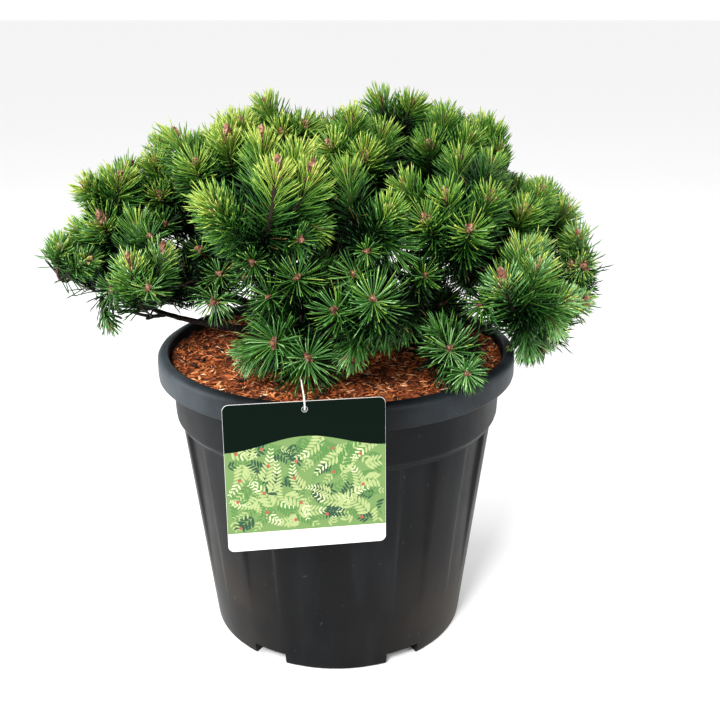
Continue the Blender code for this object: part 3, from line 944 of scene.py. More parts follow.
def fillEvenly(tips, leaders, rng):
    # The rest of the crown's surface takes shoots at an even spacing, so that it is full from every side
    corners = np.array([[surfacePoints[i] for i in face[:3]] for face in surfaceFaces])
    normals = np.cross(corners[:, 1] - corners[:, 0], corners[:, 2] - corners[:, 0])
    areas = np.linalg.norm(normals, axis=1)
    for pick in rng.choice(len(areas), crown["spareTries"], p=areas / areas.sum()):
        u, v = sorted(rng.uniform(0.0, 1.0, 2))
        spot = corners[pick][0] * u + corners[pick][1] * (v - u) + corners[pick][2] * (1 - v)
        mass, normal = surfaceOwners[pick], unit(normals[pick])
        outward = unit(0.6 * normal + 0.4 * unit(spot - massMiddle(mass)))
        # A spot with another mass close before it lies where two masses meet
        meets = surface.ray_cast(Vector(spot + normal * 0.0015), Vector(normal), 0.05)[0] is not None
        luck = rng.uniform(0.0, 1.0)
        behind = spot[1] > crown["backStart"]
        if meets and luck > crown["backInnerKeep" if behind else "innerKeep"]:
            continue
        place = spot - normal * crown["tipInset"]
        spacing = crown["tipSpacing"]
        spacing *= (crown["meetSpacing"] if meets else 1.0) * (crown["backSpacing"] if behind else 1.0)
        if min(np.linalg.norm(place - tip["place"]) for tip in tips) < spacing or inTheWay(place, leaders):
            continue
        dim = min(shadeAt(pixelOf(place)), 1.0)
        kind = "inner" if meets and depthInside(place[None])[0] > crown["innerDepth"] else "filled"
        heading = headingOf(kind, outward, rng)
        place = drawIn(place, heading, outward, crown["needleReach"], crown["spareShift"])
        if place is None:
            continue
        size = rng.uniform(*crown["spareSize"])
        if dim > crown["hollowDim"]:
            kind = "inner"
            place = place + unit(place - eye) * crown["hollowDepth"] * dim
        tips.append(tipOf(place, mass, kind, heading, size, dim))


def fillFromAbove(tips, leaders, rng):
    # Lower shoots close the wide gaps that show from above, between the limbs behind the front ones
    for x, y in rng.uniform(crown["fillFrom"], crown["fillTo"], (crown["fillTries"], 2)):
        places = np.array([tip["place"] for tip in tips])
        aside = np.array((x, y)) - places[:, :2]
        distance = np.linalg.norm(aside, axis=1)
        quarters = {(dx > 0, dy > 0) for dx, dy in aside[distance < crown["fillAround"]]}
        if distance.min() < crown["fillSpacing"] or len(quarters) < 4:
            continue
        nearest = np.argsort(distance)[:6]
        place = np.array((x, y, places[nearest, 2].mean() - crown["fillDrop"]))
        if inTheWay(place, leaders) or not insideOutline(pixelOf(place)):
            continue
        heading = headingOf("upright", unit((x, y, 0.0)), rng)
        # These lower shoots take painted shade, a dimmer tone
        tips.append(tipOf(place, tips[nearest[0]]["mass"], "filled", heading, dim=crown["fillDim"]))


def collectTips():
    rng = np.random.default_rng(crown["seed"])
    tips = tipsFromPhoto(rng)
    leaders = leadersOf(tips)
    fillEvenly(tips, leaders, rng)
    placed = len(tips)
    fillFromAbove(tips, leaders, rng)
    print("shoots that close gaps from above:", len(tips) - placed)
    low, high = crown["needledLength"]
    for tip in tips:
        length = rng.uniform(low, high)
        if tip["kind"] == "candle":
            length = high * crown["candleLength"]
        if tip["kind"] in shallowKinds:
            length = low
        tip["needled"] = length = length * tip["size"]
        bend = unit(tip["heading"] + 0.35 * unit(tip["place"] - massMiddle(tip["mass"])))
        tip["foot"] = tip["place"] - bend * length
    print("shoots:", len(tips), "of them placed by the photograph:", sum(len(p) for p in pixelTips.values()))
    return tips


tips = collectTips()


# Bark: the stem and older limbs are grey brown and scaly, younger ones dark and knobbed by old needle feet

bark = {
    "seed": 5,
    "ringSpacing": 0.0024,
    "sides": 22,
    "stemSides": 44,
    "tipRadius": 0.0016,
    "pipePower": 0.40,
    "thinning": 0.30,  # a bough's far end against the CAD limb, which is stouter than life
    "axisRadius": {"candle": 0.0030, "upright": 0.0023},  # the rough axis of the leading shoots
    "reliefPitch": 0.0042,
    "reliefDepth": 0.0011,
    "sinkMost": 0.012,  # how far a bough starts inside the stem, and how steeply at most
    "sinkDrop": -0.030,
    "deadTwigs": (
        ((-0.176, -0.007, 0.366), (-0.186, -0.01, 0.3705), (-0.196, -0.014, 0.3742), (-0.206, -0.016, 0.38)),
        ((-0.192, -0.012, 0.3722), (-0.205, -0.015, 0.3715),
         (-0.216, -0.017, 0.3735), (-0.229, -0.02, 0.379)),
        ((-0.205, -0.015, 0.3715), (-0.209, -0.016, 0.3698), (-0.212, -0.017, 0.3692)),
    ),
    "deadRadii": (0.0024, 0.0016),
    "twigTones": {"knobbedTwigBark": ("#231810", 0.85), "youngTwigBark": ("#4a3624", 0.80)},
    "youngShare": 0.25,
}


def barkMaterial():
    material = newMaterial("scalyPineBark", Roughness=0.86)
    where = addNode(material, "TexCoord", {}).outputs["Object"]
    # Scales 4 to 6 mm across, broken by finer cracks
    scales = addNode(material, "TexVoronoi", {"Vector": where, "Scale": 210.0}, feature="DISTANCE_TO_EDGE")
    mottle = addNode(material, "TexNoise", {"Vector": where, "Scale": 120.0, "Detail": 5.0})
    cracks = rampOf(material, scales, ((0.02, 0.15), (0.16, 1.0)))
    colour = rampOf(material, mottle, ((0.32, "#110d0a"), (0.52, "#231a15"), (0.72, "#42362c")))
    layers = {"Fac": 0.75, "Color1": colour, "Color2": cracks}
    shaded = addNode(material, "MixRGB", layers, blend_type="MULTIPLY")
    bump = addNode(material, "Bump", {"Height": cracks, "Strength": 0.7, "Distance": 0.0012})
    feedShader(material, Base_Color=shaded, Normal=bump)
    return material


def ringSize(ring):
    centre = ring.mean(axis=0)
    return centre, np.linalg.norm(ring - centre, axis=1).mean()


def stemLine():
    # The CAD stem's centre line and radii, read level by level
    places = np.array([vertex.co for vertex in frame["nodes"]["stem"].data.vertices])
    rings = []
    for z in np.unique(np.round(places[:, 2], 4)):
        ring = np.unique(np.round(places[np.abs(places[:, 2] - z) < 1e-4], 5), axis=0)
        if len(ring) >= 6:
            rings.append(ringSize(ring))
    centres, radii = zip(*rings)
    return np.array(centres), np.array(radii)


def limbLine(node, ringPoints=8):
    # A CAD limb's centre line and radii, read ring by ring from its far end back to the stem
    mesh = frame["nodes"][node].data
    places = np.array([vertex.co for vertex in mesh.vertices])
    corners, index = np.unique(np.round(places, 5), axis=0, return_inverse=True)
    index = index.reshape(-1)
    neighbours = [set() for _ in corners]
    for face in mesh.polygons:
        ring = [int(index[v]) for v in face.vertices]
        for a in ring:
            neighbours[a].update(ring)
    fork = np.array((0.0, 0.0, boxes["stem"][1].z))
    farthest = corners[np.argmax(np.linalg.norm(corners - fork, axis=1))]
    level = set(np.argsort(np.linalg.norm(corners - farthest, axis=1))[:ringPoints].tolist())
    seen, rings = set(), []
    while level:
        rings.append(ringSize(corners[sorted(level)]))
        seen |= level
        level = set().union(*(neighbours[a] for a in level)) - seen
    centres, radii = zip(*rings[::-1])
    return np.array(centres), np.array(radii)


def barkRelief(radius, phase):
    # Ridged and lumpy round the limb; the lumps follow the spiral of the old needle feet
    def relief(run, angles):
        turns = run / bark["reliefPitch"]
        spiral = np.cos(5 * angles + turns * 2.4 + phase) * np.cos(3 * angles - turns * 3.1)
        spots = [Vector((math.cos(a) * 2.2, math.sin(a) * 2.2, run * 260 + phase)) for a in angles]
        rough = np.array([noise.noise(spot) for spot in spots])
        return 1.0 + min(bark["reliefDepth"] / radius, 0.20) * (0.45 * spiral + 0.75 * rough)

    return relief


def makeStemAndBoughs():
    rng = np.random.default_rng(bark["seed"])
    heap = Heap()
    line, sizes = smoothLine(*stemLine(), bark["ringSpacing"])
    tube(heap, line, sizes, bark["stemSides"], relief=barkRelief(0.012, 0.0))
    stemTop = line[-1]
    ends = []
    for name in boughNames:
        centres, radii = limbLine(name)
        toAxis = stemTop - centres[0]
        toAxis[2] = max(toAxis[2], bark["sinkDrop"])
        inside = centres[0] + unit(toAxis) * min(np.linalg.norm(toAxis), bark["sinkMost"])
        stout = np.concatenate((radii[:1], radii))
        sizes = stout * np.linspace(1.0, bark["thinning"] ** 0.5, len(stout)) ** 2
        line = np.vstack((inside, centres))
        line[:, 2] -= 0.6 * (stout - sizes)
        line, sizes = smoothLine(line, sizes, bark["ringSpacing"])
        tube(heap, line, sizes, bark["sides"], relief=barkRelief(radii[0], rng.uniform(0, 30)))
        heading = unit(line[-1] - line[-6])
        ends.append({"node": name, "end": line[-1], "heading": heading, "radius": sizes[-1]})
    for route in bark["deadTwigs"]:
        radii = np.linspace(*bark["deadRadii"], len(route))
        line, sizes = smoothLine(np.array(route), radii, bark["ringSpacing"])
        tube(heap, line, sizes, 12, relief=barkRelief(0.003, rng.uniform(0, 30)))
    declare(heap.build("stem_and_boughs", [barkMaterial()]), ["stem", *boughNames])
    return ends


boughEnds = makeStemAndBoughs()


# Growth: from each bough's end the limb forks again and again towards the shoots it feeds

growth = {
    "pointedAt": 0.35,  # how much sooner a shoot goes to a bough that points at it
    "start": 0.004,  # inside the bough's end
    "rounds": 6,
    "fewShoots": 3,
    "forkFew": 0.62,  # how far on a limb forks when it feeds few shoots, and when many
    "forkMany": 0.50,
    "forkChance": 0.003,
    "keepHeading": 0.4,
    "shootPoints": 14,
    "limbPoints": 8,
    "taper": 0.88,
}


def splitTips(group, rng):
    # Two nearest-centre groups of shoots, started from two that lie far apart
    feet = np.array([tip["foot"] for tip in group])
    first = feet[rng.integers(len(feet))]
    a = feet[np.argmax(np.linalg.norm(feet - first, axis=1))]
    b = feet[np.argmax(np.linalg.norm(feet - a, axis=1))]
    for _ in range(growth["rounds"]):
        nearA = np.linalg.norm(feet - a, axis=1) <= np.linalg.norm(feet - b, axis=1)
        if nearA.all() or not nearA.any():
            break
        a, b = feet[nearA].mean(axis=0), feet[~nearA].mean(axis=0)
    groups = [[tip for tip, here in zip(group, side) if here] for side in (nearA, ~nearA)]
    return [part for part in groups if part]


def limbRadius(count):
    return bark["tipRadius"] * count ** bark["pipePower"]


def grow(start, heading, group, radius, limbs, rng):
    if len(group) == 1:
        tip, count = group[0], growth["shootPoints"]
        line = curveBetween(start, heading, tip["place"], tip["heading"], count)
        axis = bark["axisRadius"].get(tip["kind"], bark["tipRadius"])
        foot = min(radius, limbRadius(1) * 1.15)
        sizes = (foot, max(axis, foot * 0.9), axis * growth["taper"])
        radii = np.interp(np.linspace(0, 1, count), (0.0, 0.45, 1.0), sizes)
        limbs.append({"line": line, "radii": radii, "tip": tip})
        return
    parts = splitTips(group, rng)
    if len(parts) == 1:
        parts = [group[: len(group) // 2], group[len(group) // 2 :]]
    for part in parts:
        centroid = np.mean([tip["foot"] for tip in part], axis=0)
        share = growth["forkMany" if len(part) > growth["fewShoots"] else "forkFew"]
        fork = start + (centroid - start) * share + rng.normal(0.0, growth["forkChance"], 3)
        if len(part) == 1:
            grow(start, heading, part, radius, limbs, rng)
            continue
        keep = growth["keepHeading"]
        onward = unit((1.0 - keep) * unit(centroid - start) + keep * heading)
        arrival = unit(centroid - fork + 1e-6)
        size = min(radius, limbRadius(len(part)))
        line = curveBetween(start, onward, fork, arrival, growth["limbPoints"])
        radii = np.linspace(size, size * growth["taper"], len(line))
        limbs.append({"line": line, "radii": radii, "tip": None})
        grow(fork, arrival, part, size * 0.9, limbs, rng)


def wayTo(tip, end):
    way = tip["foot"] - end["end"]
    return np.linalg.norm(way) - growth["pointedAt"] * float(way @ end["heading"])


def growCrown():
    rng = np.random.default_rng(crown["seed"] + 1)
    shares = {end["node"]: [] for end in boughEnds}
    for tip in tips:
        nearest = min(boughEnds, key=lambda end: wayTo(tip, end))
        shares[nearest["node"]].append(tip)
    limbs = []
    for end in boughEnds:
        if shares[end["node"]]:
            start = end["end"] - end["heading"] * growth["start"]
            grow(start, end["heading"], shares[end["node"]], end["radius"], limbs, rng)
    print("limbs and twigs:", len(limbs))
    return limbs


limbs = growCrown()


def makeTwigs():
    rng = np.random.default_rng(bark["seed"] + 1)
    heap = Heap()
    for limb in limbs:
        step, sides = (0.0048, 6) if limb["tip"] else (0.0038, 8)
        line, sizes = smoothLine(limb["line"], limb["radii"], step)
        # Old needle feet stand out as knobs on the wood
        sizes = sizes * rng.uniform(0.80, 1.25, len(sizes))
        line[1:-1] += rng.normal(0.0, 0.00035, (len(line) - 2, 3))
        young = limb["tip"] and rng.uniform() < bark["youngShare"]
        tube(heap, line, sizes, sides, tone=1 if young else 0)
    declare(heap.build("twigs", plainMaterials(bark["twigTones"])))


makeTwigs()


# Needles: stiff, half round, waxy, in pairs; light yellow green where this year's growth gets the sun

needles = {
    "seed": 11,
    "perMetre": 5450,
    "lengthMm": (30.0, 39.0),
    "widthMm": 1.45,
    "bendShare": 0.82,
    "pitchDeg": (68.0, 30.0),  # from the axis, at the foot and at the tip of a shoot
    "starDeg": (88.0, 36.0),  # the same for shoots that face the viewer
    "evenDeg": 8.5,  # how far needles stand from that, and how far some stray ones do
    "strayDeg": 22.0,
    "strayShare": 0.08,
    "turnStep": 2.39996,  # pairs follow each other by the golden angle
    "pairHalf": 0.11,
    "budShorter": 0.34,  # needles round the bud are shorter
    "hangBelow": 0.42,  # below this height needles hang a little
    "hang": -0.22,
    "rise": 0.05,
    "greens": (
        "#08140a", "#0e200e", "#152f12", "#21431b", "#305a22", "#456f2c", "#5f8937", "#7f9d44", "#a0b152",
        "#bdc76e",
    ),
    "cool": ("#4f7f43", "#6a9659", "#88ad72", "#a5c38c"),  # palest needles of shoots that stand in shade
    "dry": ("#5a4b2b", "#7c683a"),
    "dullTones": 3,  # the darkest needles stand in shade and hardly shine
    "dryShare": 0.03,
    "coolBelow": 0.525,  # below this height more and more of the pale needles are cool in tone
    "coolFade": 0.14,
    # A needle's tone: at the least, and what sun, its place on the shoot and the shade inside the crown add
    "toneStart": 2.3,
    "toneSun": 3.5,
    # The foot of a shoot is darker, as older needles and as painted shade at the shoot's base; the end is
    # paler new growth
    "toneRun": 7.2,
    "toneMiddle": 0.62,
    "toneShade": 2.8,
    "toneSpread": 0.72,
    "shadeFrom": 0.022,  # how deep in the crown the shade starts, and over how much it grows
    "shadeOver": 0.050,
    "sun": 0.78,
    "sunChance": 0.08,
    "dimLoss": 0.30,
    "paleEnds": 0.5,  # share of needles whose end is one tone lighter
    # By kind of shoot: share of the needles, their size, how open the side is that faces the viewer, and sun
    "shareOf": {"inner": 0.55, "facing": 0.66, "hanging": 0.90, "shaded": 0.66},
    "sizeOf": {"candle": 1.08, "facing": 1.12},
    "openOf": {"candle": 0.92, "upright": 0.60},
    "openFacing": 0.62,  # which needles count as facing the viewer, and up to where on the shoot
    "openRun": 0.86,
    "sunOf": {"candle": 0.06, "facing": 0.02, "hanging": -0.08, "inner": -0.50, "shaded": -0.40},
}

needleRegions = ("left", "right", "front", "top", "back_left", "back_right")
regionEdges = {"back": 0.098, "side": 0.150, "topZ": 0.530, "topY": -0.02}


def regionOf(mass):
    x, y, z = massMiddle(mass)
    side = "left" if x < 0.0 else "right"
    if y > regionEdges["back"]:
        return "back_" + side
    if abs(x) > regionEdges["side"]:
        return side
    return "top" if z > regionEdges["topZ"] or y > regionEdges["topY"] else "front"


def sunShare(tip):
    # How much light reached the shoot: outer ones are the palest
    place = tip["place"]
    share = needles["sun"] + needles["sunOf"].get(tip["kind"], 0.0)
    share -= 0.05 * min(max((place[2] - 0.375) / 0.165, 0.0), 1.0)
    x, y = pixelOf(place)
    # Painted shade over the listed areas, or painted light where the amount is below nought
    for middleX, middleY, reach, amount in paintedShadeAreas:
        share -= amount * min(max(1.6 - 1.6 * math.hypot(x - middleX, y - middleY) / reach, 0.0), 1.0)
    return share - needles["dimLoss"] * tip["dim"]


def sprayNeedles(tip, line, rng):
    # Points, directions and tones for all needles of one shoot
    kind = tip["kind"]
    runs = runsAlong(line)
    needled = min(tip["needled"], runs[-1] * 0.96)
    share = needles["shareOf"].get(kind, 1.0) * rng.uniform(0.85, 1.1)
    pairs = int(needled * needles["perMetre"] * share / 2)
    # How far along the shoot each needle stands, from 0 at the foot to 1 at the bud
    t = np.repeat((np.arange(pairs) + rng.uniform(0, 1, pairs)) / pairs, 2)
    count = len(t)
    run = runs[-1] - needled * (1 - t) - 0.0015
    centre, ahead, behind = (
        np.stack([np.interp(run + step, runs, line[:, k]) for k in range(3)], axis=1)
        for step in (0.0, 0.003, -0.003)
    )
    axis = unit(ahead - behind)
    azimuth = np.repeat(np.arange(pairs) * needles["turnStep"] + rng.uniform(0, 6.28), 2)
    azimuth += np.tile((-needles["pairHalf"], needles["pairHalf"]), pairs) + rng.normal(0, 0.10, count)
    footDeg, tipDeg = needles["starDeg" if kind in ("facing", "shaded") else "pitchDeg"]
    stray = np.where(rng.uniform(size=count) < needles["strayShare"], needles["strayDeg"], needles["evenDeg"])
    pitch = footDeg + (tipDeg - footDeg) * t**1.3 + rng.normal(0, 1.0, count) * stray + rng.normal(0, 4.0)
    radial = roundOn(azimuth, *squareTo(axis, (0.2, 0.3, 0.93)))
    pitch = np.radians(pitch)[:, None]
    direction = np.cos(pitch) * axis + np.sin(pitch) * radial
    spraySize = rng.uniform(0.90, 1.08) * tip["size"] * needles["sizeOf"].get(kind, 1.0)
    length = rng.uniform(*needles["lengthMm"], count) / 1000 * spraySize
    length *= 0.80 + 0.20 * np.minimum(1.0, t * 3)
    nearBud = np.clip((t - 0.70) / 0.30, 0.0, 1.0) * rng.uniform(0.5, 1.2, count)
    length *= 1.0 - needles["budShorter"] * nearBud
    sag = needles["hang" if tip["place"][2] < needles["hangBelow"] else "rise"]
    direction = unit(direction + (0, 0, 0.6 * min(sag, 0.0)))
    bend = unit(direction + 0.10 * axis + rng.normal(0, 0.08, (count, 3)) + (0, 0, sag))
    foot = centre + radial * bark["axisRadius"].get(kind, bark["tipRadius"]) * 0.7
    middle = foot + direction * (length * needles["bendShare"])[:, None]
    end = middle + bend * (length * (1 - needles["bendShare"]))[:, None]
    keep = clearNeedles(middle, end, rng)
    # Leading shoots stand open on one side, where their dark axis shows
    bared = rng.uniform(size=count) < needles["openOf"].get(kind, 0.0)
    keep &= ~((radial @ -sightAhead > needles["openFacing"]) & (t < needles["openRun"]) & bared)
    tone = needleTones(tip, t, middle, rng)
    return tuple(part[keep] for part in (foot, middle, end, direction, radial, tone))


def needleTones(tip, t, middle, rng):
    sun = sunShare(tip) + rng.normal(0.0, needles["sunChance"])
    shade = np.clip((depthInside(middle) - needles["shadeFrom"]) / needles["shadeOver"], 0.0, 1.0)
    bright = needles["toneStart"] + needles["toneSun"] * sun
    # Painted shade towards the shoot's foot, partly the darker older needles
    bright = bright + needles["toneRun"] * (t - needles["toneMiddle"])
    bright += rng.normal(0, needles["toneSpread"], len(t)) - needles["toneShade"] * shade
    greens, cools = len(needles["greens"]), len(needles["cool"])
    tone = np.clip(np.round(bright), 0, greens - 2).astype(int)
    isCool = rng.uniform(size=len(t)) < (needles["coolBelow"] - tip["place"][2]) / needles["coolFade"]
    tone = np.where(isCool & (tone > 5), np.minimum(tone - 6, cools - 2) + greens, tone)
    isDry = (rng.uniform(size=len(t)) < needles["dryShare"]) & (t < 0.45)
    return np.where(isDry, greens + cools, tone)


def clearNeedles(middle, end, rng):
    # Leaves off needles that would fill a gap to the sky, or pass into the mulch or the pot
    ends = pixelOf(end)
    luck = rng.uniform(size=len(end))
    strays = np.where(ends[:, 1] > crown["undersidePixel"], crown["strayUnder"], crown["strayAbove"])
    # A few needles may pass the outline, hardly any by more than strayPixels
    inward = unit(np.array(crown["middlePixel"]) - ends) * crown["strayPixels"]
    strays = np.where(insideOutline(ends + inward), strays, crown["strayFar"])
    keep = insideOutline(ends + rng.normal(0, crown["ragged"], ends.shape)) | (luck < strays)
    potEdge = boxes["pot"][1]
    for points in (middle, end):
        pixels = pixelOf(points)
        for x, y, reach in openSpots:
            keep &= np.hypot(pixels[:, 0] - x, (pixels[:, 1] - y) * 1.25) > reach
        radius = np.hypot(points[:, 0], points[:, 1])
        overBed = radius < potSizes["mouthRadius"] + 0.002
        keep &= ~(overBed & (points[:, 2] < potEdge.z - 0.006))
        keep &= ~(~overBed & (radius < potEdge.x + 0.002) & (points[:, 2] < potEdge.z + 0.0015))
    return keep


def needleMesh(foot, middle, end, direction, radial, tone):
    # Three-sided: a ring at the foot, a ring at the bend and a point
    side = unit(np.cross(direction, radial))
    flat = unit(np.cross(side, direction))
    width = needles["widthMm"] / 2000
    rings = [
        centre + width * size * roundOn(math.tau * k / 3 + 0.5, side, flat)
        for centre, size in ((foot, 0.80), (middle, 1.0))
        for k in range(3)
    ]
    points = np.stack([*rings, end], axis=1).reshape(-1, 3)
    pattern = gridFaces(2, 3) + [(3 + k, 3 + (k + 1) % 3, 6) for k in range(3)]
    faces = np.array(pattern)[None] + 7 * np.arange(len(foot))[:, None, None]
    # The end of some needles is one tone lighter
    tones = np.repeat(tone[:, None], 9, axis=1)
    tones[:, 6:] += (np.arange(len(tone)) % 100 < 100 * needles["paleEnds"])[:, None]
    return points, faces.reshape(-1, 3), tones.ravel()


def needleMaterials():
    tones = needles["greens"] + needles["cool"] + needles["dry"]
    materials = toneMaterials("waxyPineNeedle", tones, Roughness=0.40, IOR=1.42, Specular_IOR_Level=0.5)
    for material in materials[: needles["dullTones"]]:
        feedShader(material, Specular_IOR_Level=0.18)
    return materials


def makeNeedles():
    rng = np.random.default_rng(needles["seed"])
    heaps = {region: Heap() for region in needleRegions}
    for limb in limbs:
        if limb["tip"] is None:
            continue
        spray = sprayNeedles(limb["tip"], limb["line"], rng)
        if len(spray[0]):
            heaps[regionOf(limb["tip"]["mass"])].add(*needleMesh(*spray))
    tones = needleMaterials()
    for region in needleRegions:
        nodes = [mass for mass in massNames if regionOf(mass) == region]
        declare(heaps[region].build("needles_" + region, tones), nodes)


makeNeedles()


# Buds: papery scales glued with resin, pinkish brown, one large bud with smaller ones at its foot

buds = {
    "seed": 3,
    "sizeMm": (11.5, 7.8),  # length and width
    "candleMm": (24.0, 10.5),
    "facingSize": 0.85,
    "around": (2, 5),  # how many small buds stand at its foot, how large, and how they lean
    "aroundSize": (0.5, 0.75),
    "aroundLean": (0.35, 0.7),
    "sides": 6,
    "rings": 6,
    "flare": 0.14,
    "guide": (0.3, 0.5, 0.8),
    "tones": ("#855946", "#9c7963", "#563627", "#b5988a"),
    "shares": (0.44, 0.26, 0.27, 0.03),
    "sharesInPaintedShade": (0.34, 0.13, 0.50, 0.03),  # painted shade: darker buds on the lower shoots, which stand in shade
}


def addBud(heap, foot, heading, length, width, shares, rng):
    sides, rings = buds["sides"], buds["rings"]
    across = squareTo(heading, buds["guide"])
    points = []
    for ring in range(rings):
        t = ring / rings
        reach = width / 2 * math.sin(math.pi * (0.18 + 0.72 * t) ** 0.8) ** 0.75
        angles = (np.arange(sides) * 2 + ring) * math.pi / sides
        # Every other scale stands out a little
        flare = 1.0 + buds["flare"] * np.cos(3 * angles) * (-1) ** ring
        points.append(foot + heading * length * t + roundOn(angles, *across) * (reach * flare)[:, None])
    points.append(np.array([foot + heading * length]))
    last = rings * sides
    faces = gridFaces(rings, sides)
    faces += [(last - sides + k, last - sides + (k + 1) % sides, last) for k in range(sides)]
    heap.add(np.concatenate(points), faces, rng.choice(len(buds["tones"]), len(faces), p=shares))


def makeBuds():
    rng = np.random.default_rng(buds["seed"])
    heap = Heap()
    for limb in limbs:
        tip = limb["tip"]
        if tip is None or tip["kind"] == "inner":
            continue
        heading = unit(limb["line"][-1] - limb["line"][-2])
        stature = tip["size"] ** 0.5 / 1000
        length, width = np.array(buds["sizeMm"]) * rng.uniform(0.75, 1.15) * stature
        shares, sunk, small = buds["shares"], 0.001, 1.0
        if tip["kind"] == "candle":
            length, width = np.array(buds["candleMm"]) * stature
            sunk, small = length * 0.10, 0.7
        elif tip["kind"] in ("facing", "shaded"):
            length, width = length * buds["facingSize"], width * buds["facingSize"]
            # Painted shade: buds of the low shoots that face the viewer take darker tones
            shares = buds["sharesInPaintedShade"]
        addBud(heap, tip["place"] - heading * sunk, heading, length, width, shares, rng)
        around, start = rng.integers(*buds["around"]), rng.uniform(0, math.tau)
        for k in range(around):
            angle = start + math.tau * k / around + rng.normal(0, 0.25)
            aside = roundOn(angle, *squareTo(heading, buds["guide"]))
            lean = unit(heading + aside * rng.uniform(*buds["aroundLean"]))
            size = rng.uniform(*buds["aroundSize"]) * small
            foot = tip["place"] + aside * width * 0.35 - heading * (sunk + 0.001)
            addBud(heap, foot, lean, length * size, width * size, shares, rng)
    tones = toneMaterials("resinousBudScale", buds["tones"], Roughness=0.55)
    declare(heap.build("buds", tones, smooth=False))


makeBuds()


# The plant card: printed polypropylene sheet, even colour under a thin gloss, the dark header nearly matt

card = {
    "width": 0.155,
    "height": 0.150,
    "thickness": 0.0010,
    "corner": 0.006,
    "topCentre": (-0.0256, -0.2098, 0.3470),
    "turnDeg": 8.6,
    "leanDeg": -3.6,
    "eyeletRadius": 0.0022,
    "eyeletDrop": 0.008,
    "edge": 0.0003,  # of bare sheet round the print
    "headerHeight": 0.041,
    "headerWave": 0.0065,
    "headerProud": 0.00034,
    "panelOverlap": 0.008,  # the panel runs this far up behind the header
    "stripHeight": 0.019,
    "printProud": 0.00012,
    "fronds": 70,
    "frondLength": (0.026, 0.040),
    # The tones of ten fronds each, at the foot and the end
    "frondTones": ((6, 5), (5, 4), (4, 3), (5, 4), (4, 3), (6, 5), (4, 3)),
    "leafletPairs": 9,
    "leafletShare": 0.30,  # of the frond's length, and of its own length across
    "leafletTurn": 0.85,
    "berry": 0.0034,
    "berryEvery": 4,
    "layerStep": 0.000004,  # overlapping fronds stand at their own small heights
    "seed": 9,
    # Tone and specular level
    "prints": {
        "cardWhite": ("#cfcfcb", 0.30),
        "printedDarkGreen": ("#07140e", 0.06),
        "printedGroundGreen": ("#66804e", 0.25),
        "printedLeafPale": ("#b9bf98", 0.25),
        "printedLeafLight": ("#93a06e", 0.25),
        "printedLeafMiddle": ("#4f7440", 0.25),
        "printedLeafDeep": ("#2c4936", 0.25),
        "printedBerry": ("#985244", 0.25),
    },
}

cardTurn = Matrix.Rotation(math.radians(card["turnDeg"]), 4, "Z")
cardLean = Matrix.Rotation(math.radians(card["leanDeg"]), 4, "X")
cardPlace = Matrix.Translation(card["topCentre"]) @ cardTurn @ cardLean


def cardMaterials():
    return [
        newMaterial(name, Base_Color=toLinear(tone), Roughness=0.42, IOR=1.5, Specular_IOR_Level=gloss)
        for name, (tone, gloss) in card["prints"].items()
    ]


def addPlate(heap, outlines, front, depth, tone):
    # A flat plate of the given outlines, the later ones being holes; front is how far it stands proud
    data = bpy.data.curves.new("plate", "CURVE")
    data.dimensions = "2D"
    data.fill_mode = "BOTH"
    data.extrude = depth / 2
    for outline in outlines:
        spline = data.splines.new("POLY")
        spline.points.add(len(outline) - 1)
        for point, (x, z) in zip(spline.points, outline):
            point.co = (x, z, 0.0, 1.0)
        spline.use_cyclic_u = True
    helper = addObject("plate", data)
    graph = bpy.context.evaluated_depsgraph_get()
    shape = bpy.data.meshes.new_from_object(helper.evaluated_get(graph))
    shape.calc_loop_triangles()
    upright = Matrix.Rotation(math.radians(90), 4, "X") @ Matrix.Translation((0.0, 0.0, front - depth / 2))
    points = [cardPlace @ upright @ vertex.co for vertex in shape.vertices]
    heap.add(points, [tuple(face.vertices) for face in shape.loop_triangles], tone)
    bpy.data.objects.remove(helper)


def roundedBox(x0, x1, z0, z1, corners):
    # An outline from the upper right corner round; corners are the four fillets
    made = []
    turns = ((x1, z1, 0, -1, -1), (x0, z1, 90, 1, -1), (x0, z0, 180, 1, 1), (x1, z0, 270, -1, 1))
    for (x, z, start, sx, sz), fillet in zip(turns, corners):
        if not fillet:
            made.append((x, z))
            continue
        for a in np.radians(np.linspace(start, start + 90, 7)):
            made.append((x + sx * fillet + fillet * math.cos(a), z + sz * fillet + fillet * math.sin(a)))
    return made


def leafOutline(x, z, length, width, turn):
    # A pointed oval
    made = []
    cos, sin = math.cos(turn), math.sin(turn)
    for t in np.linspace(0.0, math.tau, 14, endpoint=False):
        u, w = math.cos(t) * length / 2, math.sin(t) * abs(math.sin(t)) ** 0.3 * width / 2
        made.append((x + u * cos - w * sin, z + u * sin + w * cos))
    return made


